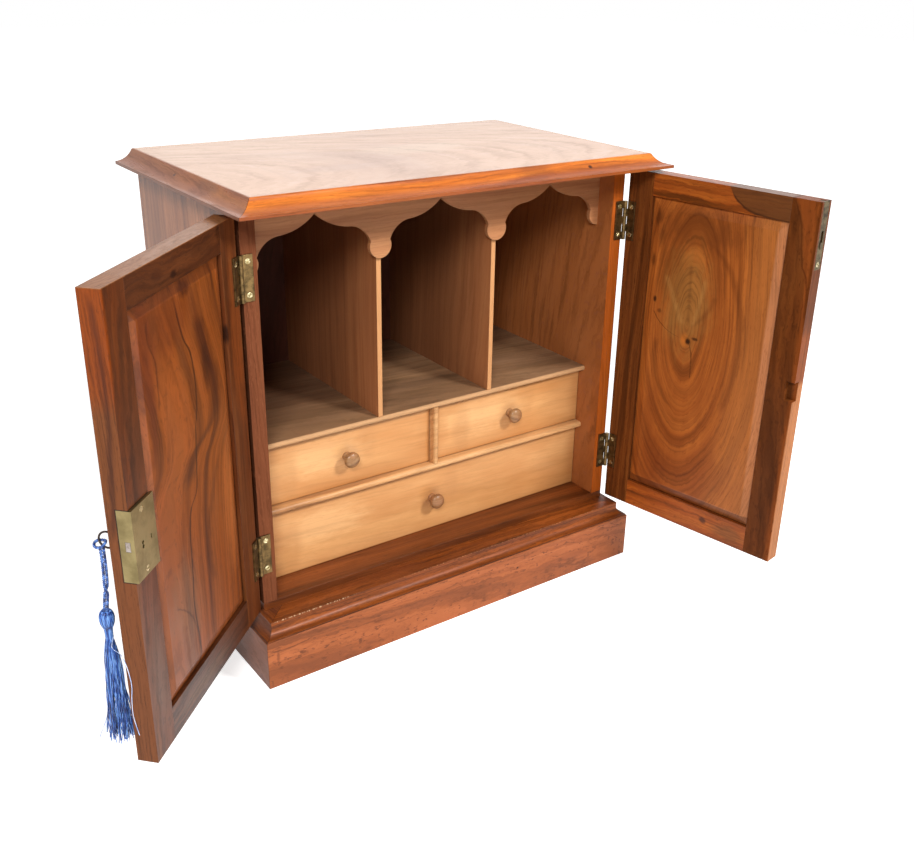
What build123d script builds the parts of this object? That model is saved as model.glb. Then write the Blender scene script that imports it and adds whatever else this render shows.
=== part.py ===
from build123d import *
import os

# Table-top stationery cabinet in walnut, with two panelled doors that open on brass butt hinges,
# three pigeonholes behind a cusped frieze, two short drawers and one long drawer.
# Millimetres. X runs to the right, Y to the back, Z up; the origin is the middle of the foot of the
# plinth's front board.
# The doors are modelled as they stand open, each turned about its own hinge line.

os.makedirs("parts", exist_ok=True)

# ---------------------------------------------------------------- driving dimensions
carcase_width = 380.0
carcase_depth = 203.0
side_thickness = 12.5
back_thickness = 8.0
base_board_thickness = 19.8
carcase_height = 335.0          # sides, from the base board up to the top board

# moulded top
top_thickness = 12.0
top_side_overhang = 18.0
top_front_overhang = 42.5
top_cove_width = 15.0
top_lip_thickness = 2.6
top_arris_radius = 1.6
top_flat_margin = 1.6           # flat of the moulding, between the board and the arris

# plinth and the moulding planted on it
plinth_height = 45.2
plinth_side_reach = 12.4
plinth_front_reach = 28.8
plinth_board_thickness = 20.0
plinth_arris_radius = 0.8
moulding_height = 13.2
moulding_fillet_height = 3.8
moulding_cove_reach = 8.2
moulding_quirk = 1.0

# interior joinery
nose_setback = 23.0             # carcase front to the nosed edges of shelf, rail and divider
frieze_thickness = 4.0
shelf_top = 132.5               # above the base board
shelf_thickness = 5.0
rail_top = 71.5                 # above the base board
rail_thickness = 6.0
divider_thickness = 5.0
partition_thickness = 4.4

# cusped frieze, measured from the frieze's lower edge upwards
pendant_radius = 10.2
pendant_neck = 8.5
pendant_neck_height = 12.8
arch_shoulder_half = 30.0
arch_shoulder_height = 29.6
arch_cusp_height = 43.4
arch_lower_bulge = (45.4, 22.6)
arch_upper_bulge = (13.6, 34.0)
frieze_height = 59.7

# drawers
drawer_setback = 31.0           # carcase front to the drawer fronts
drawer_front_thickness = 9.0
drawer_side_thickness = 6.0
drawer_bottom_thickness = 3.5
drawer_bottom_raise = 2.5
drawer_side_drop = 5.0
drawer_clearance = 0.5
drawer_back_clearance = 6.0
short_drawer_travel = 120.0
long_drawer_travel = 120.0

# turned knobs
knob_diameter = 14.5
knob_projection = 14.0
knob_neck_diameter = 7.0
knob_crown_height = 1.7
knob_pin_diameter = 5.0
knob_pin_length = 7.0

# doors
door_thickness = 15.0
door_gap = 4.0                  # carcase front to the inner face of a closed door
door_meeting_gap = 1.0
door_bottom_clearance = 2.4
door_top_clearance = 5.4
stile_width = 26.5
top_rail_width = 20.8
bottom_rail_width = 26.0
panel_groove_depth = 6.0
panel_field_inset = 0.5         # field of the panel below the face of the frame
panel_bevel_width = 8.5
panel_bevel_drop = 2.6
panel_tongue_clearance = 0.9
left_door_opening = 136.7
right_door_opening = 100.3

# brass butt hinges
hinge_pin_offset = 1.4          # hinge line outside the carcase's side
hinge_length = 35.8
hinge_width = 10.2              # carcase side to the free edge of a leaf
hinge_leaf_thickness = 1.3
knuckle_radius = 1.85
knuckle_count = 5
knuckle_gap = 0.25
hinge_pin_radius = 0.9
pin_clearance = 0.05
leaf_relief = 0.35
hinge_top_drop = 29.5           # door top to the top of the upper hinge
hinge_foot_rise = 33.5          # door bottom to the foot of the lower hinge

# countersunk screws
screw_head_diameter = 4.4
screw_head_depth = 1.1
screw_shank_diameter = 2.4
screw_slot_width = 0.7
screw_slot_depth = 0.6
hinge_screw_length = 9.0
hinge_screw_end = 5.0           # screw to the end of its leaf

# cupboard lock in the left door
lock_height = 51.0
lock_centre = 168.4             # door bottom to the middle of the lock
lock_cap_width = 29.0
lock_cap_thickness = 2.0
selvedge_width = 10.0
selvedge_thickness = 2.0
lock_case_depth = 8.5
lock_case_height = 36.0
lock_case_width = 20.0
lock_case_wall = 1.2
lock_bolt_thickness = 3.2
lock_bolt_height = 6.6
lock_bolt_length = 17.0
lock_bolt_depth = 0.9           # inner face of the door to the bolt
lock_bolt_rise = 0.2            # middle of the lock to the middle of the bolt
lock_bolt_travel = 6.5
lock_clearance = 0.2
cap_hole_radius = 1.3           # two round holes that run together behind the key
cap_hole_offset = 1.5           # key's axis to the middle of each
cap_slot_backset = 21.5
cap_slot_drop = 2.5             # middle of the lock to the middle of the cap's small slot
cap_slot_width = 1.3
cap_slot_height = 3.2
lock_screw_backset = 13.0
lock_screw_end = 4.3            # screw to the end of the cap
lock_screw_length = 11.0
key_backset = 10.6
key_drop = 2.7                  # middle of the lock down to the key
keeper_depth = 8.5
keeper_width = 6.5
keeper_height = 18.0

# key and its tassel
key_shank_radius = 1.6
key_hole_clearance = 0.3
key_bit_reach = 3.9             # axis of the key to the foot of its bit
key_bit_thickness = 1.8
key_bit_width = 2.4
key_collar_radius = 3.0
key_collar_thickness = 1.5
key_bow_stand = 7.4             # outer face of the door to the middle of the bow
key_bow_radius = 5.8
key_bow_bar_radius = 0.7
escutcheon_width = 11.0
escutcheon_height = 20.0
escutcheon_thickness = 1.0
loop_radius = 1.8
loop_cord_radius = 0.9
loop_angle = 45.0               # below the key's axis, where the loop hangs on the bow
cord_radius = 1.4
cord_length = 48.0
cord_clearance = 0.2            # loop to the hanging cord, which keeps still while the key turns
tassel_head_height = 13.3
tassel_head_radius = 5.0
tassel_neck_height = 8.0
tassel_neck_radius = 2.9
tassel_skirt_length = 81.5
tassel_skirt_top_radius = 4.0
tassel_skirt_waist_radius = 7.4
tassel_skirt_foot_radius = 10.5

# flush bolt on the closing edge of the right door
flush_plate_length = 57.0
flush_plate_width = 9.5
flush_plate_thickness = 1.5
flush_rod_radius = 2.2
flush_rod_length = 49.0
flush_rod_clearance = 0.25
flush_travel = 9.0
flush_nub_drop = 34.0           # door top to the top of the thumb nub
flush_nub_length = 5.0
flush_nub_width = 3.4
flush_nub_stand = 0.4
flush_screw_drop = 52.5
flush_screw_length = 8.0
flush_socket_depth = 6.0

# ---------------------------------------------------------------- places worked out from the sizes
half_width = carcase_width / 2
inner_half = half_width - side_thickness
plinth_depth = carcase_depth + plinth_front_reach
plinth_front_y = -plinth_board_thickness / 2
back_y = plinth_front_y + plinth_depth
front_y = plinth_front_y + plinth_front_reach
base_top = plinth_height + base_board_thickness
moulding_top = plinth_height + moulding_height
top_underside = base_top + carcase_height
overall_height = top_underside + top_thickness
inner_back_y = back_y - back_thickness
nose_y = front_y + nose_setback
frieze_y = nose_y - frieze_thickness + 0.6
drawer_y = front_y + drawer_setback
shelf_z = base_top + shelf_top
rail_z = base_top + rail_top
door_bottom = moulding_top + door_bottom_clearance
door_top = top_underside - door_top_clearance
door_face_y = front_y - door_gap
door_outer_y = door_face_y - door_thickness
door_free_edge = door_meeting_gap / 2
hinge_x = half_width + hinge_pin_offset
hinge_y = front_y - door_gap / 2
lock_z = door_bottom + lock_centre
key_z = lock_z - key_drop


# ---------------------------------------------------------------- helpers
def block(x, y, z):
    """A box between two X, two Y and two Z places, given in any order."""
    size = [abs(pair[1] - pair[0]) for pair in (x, y, z)]
    low = [min(pair) for pair in (x, y, z)]
    return Pos(*low) * Box(*size, align=(Align.MIN, Align.MIN, Align.MIN))


def rod(start, end, radius):
    """A round bar from one point to another."""
    run = Vector(*end) - Vector(*start)
    plane = Plane(origin=start, z_dir=run)
    return extrude(plane * Circle(radius), amount=run.length)


def outline(points):
    """A flat face from corner points; a point given with a middle point ends an arc through it."""
    edges = []
    last = points[0]
    for point in points[1:]:
        if isinstance(point[0], tuple):
            edges.append(ThreePointArc(last, point[0], point[1]))
            last = point[1]
        else:
            edges.append(Line(last, point))
            last = point
    edges.append(Line(last, points[0]))
    return make_face(edges)


def strip(profile, origin, outward, length):
    """A moulding: the profile stands on its outward direction and Z, and is run along the third."""
    run_direction = Vector(*outward).cross(Vector(0, 0, 1))
    plane = Plane(origin=origin, x_dir=outward, z_dir=run_direction)
    return extrude(plane * profile, amount=length)


def plan(points, z):
    """A prism over a plan outline, between two heights."""
    face = make_face(Polyline(*points, close=True))
    return Pos(0, 0, z[0]) * extrude(face, amount=z[1] - z[0])


def screw(head, direction, length, slot_across):
    """A countersunk slotted screw: flush head at one point, shank along the direction."""
    way = Vector(*direction).normalized()
    top = Vector(*head)
    cone_plane = Plane(origin=top, z_dir=way)
    cone = cone_plane * Cone(screw_head_diameter / 2, screw_shank_diameter / 2, screw_head_depth,
                             align=(Align.CENTER, Align.CENTER, Align.MIN))
    shank = rod(top + way * screw_head_depth, top + way * length, screw_shank_diameter / 2)
    slot_plane = Plane(origin=top, x_dir=slot_across, z_dir=way)
    slot = slot_plane * Box(screw_head_diameter * 2, screw_slot_width, screw_slot_depth * 2)
    return (cone + shank) - slot


def screw_hole(head, direction, length):
    """The wood or brass that a screw of that length takes up."""
    way = Vector(*direction).normalized()
    top = Vector(*head)
    cone_plane = Plane(origin=top, z_dir=way)
    cone = cone_plane * Cone(screw_head_diameter / 2, screw_shank_diameter / 2, screw_head_depth,
                             align=(Align.CENTER, Align.CENTER, Align.MIN))
    return cone + rod(top + way * screw_head_depth, top + way * length, screw_shank_diameter / 2)


def cut_all(body, tools):
    """Take each tool away from the body."""
    for tool in tools:
        body = body - tool
    return body


def swing_open(shape, side):
    """Turn a shape of a closed door to where the door stands open; side is -1 left, +1 right."""
    angle = right_door_opening if side > 0 else -left_door_opening
    return shape.rotate(Axis((side * hinge_x, hinge_y, 0), (0, 0, 1)), angle)


def save(shape, name):
    """Write one node."""
    solids = shape.solids()
    whole = solids[0] if len(solids) == 1 else Compound(children=list(solids))
    export_step(whole, f"parts/{name}.step")


# ---------------------------------------------------------------- moulded top
top_half = half_width + top_side_overhang
top_front_y = front_y - top_front_overhang
core_half = top_half - top_cove_width - top_flat_margin
core_front_y = top_front_y + top_cove_width + top_flat_margin
cove_rise = top_thickness - top_lip_thickness
cove_radius = (top_cove_width ** 2 + cove_rise ** 2) / (2 * cove_rise)


def cove_profile():
    """Section of the top's edge: square back, narrow flat, rounded arris, hollow cove, thin lip."""
    middle_out = top_cove_width * 0.42
    middle_rise = cove_radius - (cove_radius ** 2 - (top_cove_width - middle_out) ** 2) ** 0.5
    lip = top_flat_margin + top_cove_width
    face = outline([
        (0, 0),
        (0, top_thickness),
        (top_flat_margin, top_thickness),
        ((top_flat_margin + middle_out, top_lip_thickness + middle_rise), (lip, top_lip_thickness)),
        (lip, 0),
    ])
    arris = face.vertices().group_by(Axis.Y)[-1].sort_by(Axis.X)[-1]
    return fillet(arris, top_arris_radius)


def flush_socket():
    """Hole under the top that the right door's bolt shoots into."""
    x = door_free_edge + flush_plate_thickness + flush_rod_radius + flush_rod_clearance
    y = door_face_y - door_thickness / 2
    return rod((x, y, top_underside), (x, y, top_underside + flush_socket_depth),
               flush_rod_radius + 3 * flush_rod_clearance)


def make_top():
    board = block((-core_half, core_half), (core_front_y, back_y), (top_underside, overall_height))
    save(board - flush_socket(), "top_board")
    profile = cove_profile()
    z = (top_underside, overall_height)
    front = strip(profile, (top_half, core_front_y, top_underside), (0, -1, 0), 2 * top_half)
    front = front & plan([(-top_half, top_front_y), (top_half, top_front_y),
                          (core_half, core_front_y), (-core_half, core_front_y)], z)
    left = strip(profile, (-core_half, top_front_y, top_underside), (-1, 0, 0), back_y - top_front_y)
    left = left & plan([(-top_half, top_front_y), (-core_half, core_front_y),
                        (-core_half, back_y), (-top_half, back_y)], z)
    save(Compound(children=[front, left, mirror(left, about=Plane.YZ)]), "top_moulding")


# ---------------------------------------------------------------- plinth and its moulding
plinth_half = half_width + plinth_side_reach


def make_plinth():
    inner_x = plinth_half - plinth_board_thickness
    inner_y = plinth_front_y + plinth_board_thickness
    z = (0, plinth_height)
    front = plan([(-plinth_half, plinth_front_y), (plinth_half, plinth_front_y),
                  (inner_x, inner_y), (-inner_x, inner_y)], z)
    left = plan([(-plinth_half, plinth_front_y), (-inner_x, inner_y),
                 (-inner_x, back_y), (-plinth_half, back_y)], z)
    front = fillet(front.edges().filter_by(Axis.X).group_by(Axis.Y)[0], plinth_arris_radius)
    left = fillet(left.edges().filter_by(Axis.Y).group_by(Axis.X)[0], plinth_arris_radius)
    rear = block((-inner_x, inner_x), (back_y - plinth_board_thickness, back_y), z)
    save(front, "plinth_front")
    save(left, "plinth_left")
    save(mirror(left, about=Plane.YZ), "plinth_right")
    save(rear, "plinth_back")


def moulding_profile(reach):
    """Section of the planted moulding: flat top, upright fillet, hollow cove, narrow quirk."""
    nose = reach - moulding_cove_reach
    foot = reach - moulding_quirk
    cove_top = moulding_height - moulding_fillet_height
    middle = (nose + 0.20 * moulding_cove_reach, cove_top * 0.42)
    return outline([
        (0, 0),
        (0, moulding_height),
        (nose, moulding_height),
        (nose, cove_top),
        (middle, (foot, moulding_quirk)),
        (foot, 0),
    ])


def make_plinth_moulding():
    z = (plinth_height, moulding_top)
    mitre_y = plinth_front_y + plinth_side_reach
    front = strip(moulding_profile(plinth_front_reach), (plinth_half, front_y, plinth_height),
                  (0, -1, 0), 2 * plinth_half)
    front = front & plan([(-plinth_half, plinth_front_y), (plinth_half, plinth_front_y),
                          (half_width, mitre_y), (half_width, front_y),
                          (-half_width, front_y), (-half_width, mitre_y)], z)
    left = strip(moulding_profile(plinth_side_reach), (-half_width, plinth_front_y, plinth_height),
                 (-1, 0, 0), plinth_depth)
    left = left & plan([(-plinth_half, plinth_front_y), (-half_width, mitre_y),
                        (-half_width, back_y), (-plinth_half, back_y)], z)
    save(Compound(children=[front, left, mirror(left, about=Plane.YZ)]), "plinth_moulding")


# ---------------------------------------------------------------- hinges
def hinge_feet():
    """Heights of the lower ends of the two hinges of a door."""
    return (door_bottom + hinge_foot_rise, door_top - hinge_top_drop - hinge_length)


def screw_heights(foot):
    return (foot + hinge_screw_end, foot + hinge_length - hinge_screw_end)


leaf_free_x = half_width - hinge_width + 1.4
leaf_screw_x = (leaf_free_x + half_width) / 2 - 0.4


def leaf_screw_heads(side, y):
    """Points of the four screw heads in one leaf position of a door's two hinges."""
    return [(side * leaf_screw_x, y, z) for foot in hinge_feet() for z in screw_heights(foot)]


def knuckle_spans(foot, first):
    """Heights of every other knuckle of a hinge, from the first one given."""
    pitch = hinge_length / knuckle_count
    spans = []
    for index in range(first, knuckle_count, 2):
        low = foot + index * pitch + (knuckle_gap / 2 if index else 0)
        high = foot + (index + 1) * pitch - (knuckle_gap / 2 if index < knuckle_count - 1 else 0)
        spans.append((low, high))
    return spans


def leaf(side, foot, face_y, inward, first):
    """One leaf: flat plate on a face, joined to its own knuckles round the pin."""
    plate_y = (face_y, face_y + inward * hinge_leaf_thickness)
    hinge_span = (foot, foot + hinge_length)
    relief = hinge_x - knuckle_radius - leaf_relief
    plate = block((side * leaf_free_x, side * relief), plate_y, hinge_span)
    for span in knuckle_spans(foot, first):
        barrel = rod((side * hinge_x, hinge_y, span[0]), (side * hinge_x, hinge_y, span[1]),
                     knuckle_radius)
        tab = block((side * relief, side * hinge_x), plate_y, span)
        plate = plate + barrel + tab
    bore = rod((side * hinge_x, hinge_y, foot - 1), (side * hinge_x, hinge_y, foot + hinge_length + 1),
               hinge_pin_radius + (pin_clearance if first else 0))
    return plate - bore


def make_hinges():
    jamb_screws = []
    for side, name in ((-1, "left"), (1, "right")):
        jamb_y = front_y - hinge_leaf_thickness
        door_y = door_face_y + hinge_leaf_thickness
        jamb_heads = leaf_screw_heads(side, jamb_y)
        door_heads = leaf_screw_heads(side, door_y)
        jamb_holes = [screw_hole(head, (0, 1, 0), hinge_screw_length) for head in jamb_heads]
        door_holes = [screw_hole(head, (0, -1, 0), hinge_screw_length) for head in door_heads]
        jamb_leaves = [cut_all(leaf(side, foot, front_y, -1, 0), jamb_holes) for foot in hinge_feet()]
        door_leaves = [cut_all(leaf(side, foot, door_face_y, 1, 1), door_holes) for foot in hinge_feet()]
        pins = [rod((side * hinge_x, hinge_y, foot), (side * hinge_x, hinge_y, foot + hinge_length),
                    hinge_pin_radius) for foot in hinge_feet()]
        jamb_screws += [screw(head, (0, 1, 0), hinge_screw_length, (1, 0, turn))
                        for head, turn in zip(jamb_heads, (0.5, -0.9, 2.0, 0.2))]
        door_screws = [screw(head, (0, -1, 0), hinge_screw_length, (1, 0, turn))
                       for head, turn in zip(door_heads, (-0.4, 1.2, 0.3, -1.6))]
        save(Compound(children=jamb_leaves), f"{name}_hinge_jamb_leaves")
        save(swing_open(Compound(children=door_leaves), side), f"{name}_hinge_door_leaves")
        save(Compound(children=pins), f"{name}_hinge_pins")
        save(swing_open(Compound(children=door_screws), side), f"{name}_hinge_door_screws")
    save(Compound(children=jamb_screws), "hinge_jamb_screws")


# ---------------------------------------------------------------- carcase
def make_carcase():
    carcase_z = (base_top, top_underside)
    for side, name in ((-1, "left"), (1, "right")):
        panel = block((side * inner_half, side * half_width), (front_y, back_y), carcase_z)
        holes = [screw_hole(head, (0, 1, 0), hinge_screw_length)
                 for head in leaf_screw_heads(side, front_y - hinge_leaf_thickness)]
        save(cut_all(panel, holes), f"carcase_side_{name}")
    save(block((-inner_half, inner_half), (inner_back_y, back_y), carcase_z), "back_panel")
    save(block((-half_width, half_width), (front_y, back_y), (plinth_height, base_top)), "base_board")


# ---------------------------------------------------------------- pigeonholes and drawer divisions
def nosed_board(x, z):
    """A level board with a half-round front edge."""
    board = block(x, (nose_y, inner_back_y), z)
    nose_edges = board.edges().filter_by(Axis.X).group_by(Axis.Y)[0]
    return fillet(nose_edges, (z[1] - z[0]) * 0.49)


def make_divisions():
    shelf_span = (shelf_z - shelf_thickness, shelf_z)
    rail_span = (rail_z - rail_thickness, rail_z)
    save(nosed_board((-inner_half, inner_half), shelf_span), "shelf")
    save(nosed_board((-inner_half, inner_half), rail_span), "drawer_rail")
    divider = block((-divider_thickness / 2, divider_thickness / 2), (nose_y, inner_back_y),
                    (rail_z, shelf_span[0]))
    divider = fillet(divider.edges().filter_by(Axis.Z).group_by(Axis.Y)[0], divider_thickness * 0.49)
    save(divider, "drawer_divider")
    for centre, name in ((-partition_centre, "left"), (partition_centre, "right")):
        x = (centre - partition_thickness / 2, centre + partition_thickness / 2)
        save(block(x, (frieze_y + frieze_thickness, inner_back_y), (shelf_z, top_underside)),
             f"partition_{name}")


bay_pitch = 2 * inner_half / 3
partition_centre = bay_pitch / 2


def arch_cut():
    """One bay's opening in the frieze: two ogee sides that meet in a cusp."""
    neck = bay_pitch / 2 - pendant_neck
    left_to_right = [
        (-bay_pitch / 2, -1),
        (-bay_pitch / 2, pendant_neck_height),
        (-neck, pendant_neck_height),
        ((-arch_lower_bulge[0], arch_lower_bulge[1]), (-arch_shoulder_half, arch_shoulder_height)),
        ((-arch_upper_bulge[0], arch_upper_bulge[1]), (0, arch_cusp_height)),
        ((arch_upper_bulge[0], arch_upper_bulge[1]), (arch_shoulder_half, arch_shoulder_height)),
        ((arch_lower_bulge[0], arch_lower_bulge[1]), (neck, pendant_neck_height)),
        (bay_pitch / 2, pendant_neck_height),
        (bay_pitch / 2, -1),
    ]
    return outline(left_to_right)


def make_frieze():
    """Thin board with three arches and round pendants, the outer two cut in half by the sides."""
    board = Pos(0, frieze_height / 2) * Rectangle(2 * inner_half, frieze_height)
    for bay in (-1, 0, 1):
        board = board - Pos(bay * bay_pitch, 0) * arch_cut()
    for post in (-3, -1, 1, 3):
        board = board + Pos(post * bay_pitch / 2, pendant_radius) * Circle(pendant_radius)
    board = board & (Pos(0, frieze_height / 2) * Rectangle(2 * inner_half, frieze_height))
    plane = Plane(origin=(0, frieze_y + frieze_thickness, top_underside - frieze_height),
                  x_dir=(1, 0, 0), z_dir=(0, -1, 0))
    save(extrude(plane * board, amount=frieze_thickness), "arched_frieze")


# ---------------------------------------------------------------- drawers
def knob(x, z):
    """Turned mushroom knob with a pin that is glued into the drawer front."""
    head = knob_diameter / 2
    neck = knob_neck_diameter / 2
    crown = head * 0.80
    crown_foot = knob_projection - knob_crown_height
    section = outline([
        (0, -knob_pin_length),
        (knob_pin_diameter / 2, -knob_pin_length),
        (knob_pin_diameter / 2, 0),
        (neck + 0.8, 0),
        (neck + 0.8, 1.4),
        ((neck - 0.2, crown_foot * 0.32), (neck + 0.7, crown_foot * 0.52)),
        ((head, crown_foot * 0.75), (crown, crown_foot)),
        (0, crown_foot),
    ])
    turned = revolve(Plane.XZ * section, Axis.Z)
    dome_radius = (crown ** 2 + knob_crown_height ** 2) / (2 * knob_crown_height)
    dome = Pos(0, 0, knob_projection - dome_radius) * Sphere(dome_radius)
    turned = turned + (dome & rod((0, 0, crown_foot), (0, 0, knob_projection), head))
    return Pos(x, drawer_y, z) * (Rot(90, 0, 0) * turned)


def make_drawer(name, bay_x, bay_z):
    """Front, glued box and knob of the drawer that fills a bay."""
    x = (bay_x[0] + drawer_clearance, bay_x[1] - drawer_clearance)
    z = (bay_z[0] + drawer_clearance, bay_z[1] - drawer_clearance)
    front_back_y = drawer_y + drawer_front_thickness
    end_y = inner_back_y - drawer_back_clearance
    middle = (sum(x) / 2, sum(z) / 2)
    groove_z = (z[0] + drawer_bottom_raise, z[0] + drawer_bottom_raise + drawer_bottom_thickness)
    side_z = (z[0], z[1] - drawer_side_drop)
    inner_x = (x[0] + drawer_side_thickness, x[1] - drawer_side_thickness)
    front = block(x, (drawer_y, front_back_y), z)
    pin_hole = rod((middle[0], drawer_y, middle[1]), (middle[0], drawer_y + knob_pin_length, middle[1]),
                   knob_pin_diameter / 2)
    left = block((x[0], inner_x[0]), (front_back_y, end_y), side_z)
    right = block((inner_x[1], x[1]), (front_back_y, end_y), side_z)
    rear = block(inner_x, (end_y - drawer_side_thickness, end_y), (groove_z[1], side_z[1]))
    bottom = block(inner_x, (front_back_y, end_y), groove_z)
    save(front - pin_hole, f"{name}_front")
    save(Compound(children=[left, right, rear, bottom]), f"{name}_box")
    save(knob(*middle), f"{name}_knob")


def make_drawers():
    half_divider = divider_thickness / 2
    short_z = (rail_z, shelf_z - shelf_thickness)
    make_drawer("left_drawer", (-inner_half, -half_divider), short_z)
    make_drawer("right_drawer", (half_divider, inner_half), short_z)
    make_drawer("long_drawer", (-inner_half, inner_half), (base_top, rail_z - rail_thickness))


# ---------------------------------------------------------------- lock
def lock_u(distance):
    """X place of a distance from the closing edge of the left door, while it is closed."""
    return -door_free_edge - distance


def lock_depth(distance):
    """Y place of a depth into the door from its inner face."""
    return door_face_y - distance


def lock_case_space(grow):
    """The block of wood that the lock case takes out of the stile."""
    half = lock_case_height / 2 + grow
    return block((lock_u(selvedge_thickness), lock_u(lock_case_width + grow)),
                 (lock_depth(0), lock_depth(lock_case_depth + grow)), (lock_z - half, lock_z + half))


def selvedge():
    return block((lock_u(0), lock_u(selvedge_thickness)),
                 (lock_depth(-lock_cap_thickness), lock_depth(selvedge_width - lock_cap_thickness)),
                 (lock_z - lock_height / 2, lock_z + lock_height / 2))


def lock_bolt(grow=0.0):
    centre = lock_z + lock_bolt_rise
    half = lock_bolt_height / 2 + grow
    near = lock_bolt_depth - grow
    far = lock_bolt_depth + lock_bolt_thickness + grow
    return block((lock_u(-grow), lock_u(lock_bolt_length)), (lock_depth(near), lock_depth(far)),
                 (centre - half, centre + half))


def key_hole(depth):
    """Round hole with a slot below it for the bit, through a span of depths."""
    x = lock_u(key_backset)
    hole = rod((x, lock_depth(depth[0]), key_z), (x, lock_depth(depth[1]), key_z),
               key_shank_radius + key_hole_clearance)
    half = key_bit_width / 2 + key_hole_clearance
    slot = block((x - half, x + half), (lock_depth(depth[0]), lock_depth(depth[1])),
                 (key_z - key_bit_reach - key_hole_clearance, key_z))
    return hole + slot


def lock_screw_heads():
    low = lock_z - lock_height / 2 + lock_screw_end
    high = lock_z + lock_height / 2 - lock_screw_end
    x = lock_u(lock_screw_backset)
    return [(x, lock_depth(-lock_cap_thickness), z) for z in (low, high)]


def lock_screw_holes():
    return [screw_hole(head, (0, -1, 0), lock_screw_length) for head in lock_screw_heads()]


def make_lock():
    case = lock_case_space(0)
    hollow_half = lock_case_height / 2 - lock_case_wall
    hollow = block((lock_u(selvedge_thickness), lock_u(lock_case_width - lock_case_wall)),
                   (lock_depth(-1), lock_depth(lock_case_depth - lock_case_wall)),
                   (lock_z - hollow_half, lock_z + hollow_half))
    case = (case - hollow) + selvedge()
    case = case - lock_bolt(lock_clearance) - key_hole((lock_case_depth - 2, lock_case_depth + 1))
    screw_heads = lock_screw_heads()
    holes = lock_screw_holes()
    cap = block((lock_u(selvedge_thickness), lock_u(lock_cap_width)),
                (lock_depth(-lock_cap_thickness), lock_depth(0)),
                (lock_z - lock_height / 2, lock_z + lock_height / 2))
    key_x = lock_u(key_backset)
    cap_holes = [rod((key_x, lock_depth(-lock_cap_thickness), z), (key_x, lock_depth(0), z), cap_hole_radius)
                 for z in (key_z - cap_hole_offset, key_z + cap_hole_offset)]
    slot_middle = lock_z - cap_slot_drop
    slot_x = lock_u(cap_slot_backset)
    slot = block((slot_x - cap_slot_width / 2, slot_x + cap_slot_width / 2),
                 (lock_depth(-lock_cap_thickness), lock_depth(0)),
                 (slot_middle - cap_slot_height / 2, slot_middle + cap_slot_height / 2))
    save(swing_open(cut_all(case, holes), -1), "lock_case")
    save(swing_open(cut_all(cap, holes + cap_holes) - slot, -1), "lock_cap")
    save(swing_open(lock_bolt(), -1), "lock_bolt")
    screws = [screw(head, (0, -1, 0), lock_screw_length, (1, 0, turn))
              for head, turn in zip(screw_heads, (0.3, -1.4))]
    save(swing_open(Compound(children=screws), -1), "lock_screws")


# ---------------------------------------------------------------- key, escutcheon and tassel
def make_key():
    x = lock_u(key_backset)
    outer = door_thickness
    face_y = lock_depth(outer)
    plate = Plane(origin=(x, face_y, key_z - 1.0), x_dir=(1, 0, 0), z_dir=(0, -1, 0))
    shield = extrude(plate * Ellipse(escutcheon_width / 2, escutcheon_height / 2),
                     amount=escutcheon_thickness)
    shield = shield - key_hole((outer - 1, outer + escutcheon_thickness + 1))
    save(swing_open(shield, -1), "key_escutcheon")
    bow_y = lock_depth(outer + key_bow_stand)
    shank = rod((x, lock_depth(4.6), key_z), (x, bow_y + key_bow_radius, key_z), key_shank_radius)
    collar_y = lock_depth(outer + escutcheon_thickness + 0.6)
    collar = rod((x, collar_y, key_z), (x, collar_y - key_collar_thickness, key_z), key_collar_radius)
    bit = block((x - key_bit_thickness / 2, x + key_bit_thickness / 2), (lock_depth(4.6), lock_depth(7.0)),
                (key_z, key_z - key_bit_reach))
    bow_plane = Plane(origin=(x, bow_y, key_z), z_dir=(1, 0, 0))
    bow = bow_plane * Torus(key_bow_radius, key_bow_bar_radius)
    save(swing_open(shank + collar + bit + bow, -1), "key")


def make_tassel():
    x = lock_u(key_backset)
    down_and_out = Vector(0, -1, 0).rotate(Axis.X, loop_angle)
    bar = Vector(x, lock_depth(door_thickness + key_bow_stand), key_z) + down_and_out * key_bow_radius
    loop = Plane(origin=bar, z_dir=down_and_out.cross(Vector(1, 0, 0))) * Torus(loop_radius, loop_cord_radius)
    cord_top = bar + down_and_out * loop_radius
    cord_top = cord_top - Vector(0, loop_cord_radius + cord_clearance + cord_radius, 0)
    cord_foot = cord_top - Vector(0, 0, cord_length)
    head_foot = cord_foot - Vector(0, 0, tassel_head_height + tassel_neck_height)
    print("cord straight, length", cord_length, "turning line", cord_top)
    save(swing_open(loop, -1), "tassel_loop")
    save(swing_open(rod(tuple(cord_top), tuple(cord_foot), cord_radius), -1), "tassel_cord")
    save(swing_open(Pos(*cord_foot) * tassel_head(), -1), "tassel_head")
    save(swing_open(Pos(*head_foot) * tassel_skirt(), -1), "tassel_skirt")


def tassel_head():
    """Wound head, egg-shaped, with a bound neck under it; the cord enters at the origin."""
    section = outline([
        (0, -tassel_head_height - tassel_neck_height),
        (tassel_neck_radius, -tassel_head_height - tassel_neck_height),
        (tassel_neck_radius, -tassel_head_height),
        ((tassel_head_radius, -tassel_head_height * 0.55), (cord_radius, 0)),
        (0, 0),
    ])
    return revolve(Plane.XZ * section, Axis.Z)


def tassel_skirt():
    """Bell of hanging strands, as one plain solid that starts at the origin."""
    section = outline([
        (0, -tassel_skirt_length),
        (tassel_skirt_foot_radius, -tassel_skirt_length),
        ((tassel_skirt_waist_radius, -tassel_skirt_length * 0.45), (tassel_skirt_top_radius, 0)),
        (0, 0),
    ])
    return revolve(Plane.XZ * section, Axis.Z)


# ---------------------------------------------------------------- flush bolt
flush_x = door_free_edge + flush_plate_thickness + flush_rod_clearance + flush_rod_radius
flush_y = door_face_y - door_thickness / 2


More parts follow.
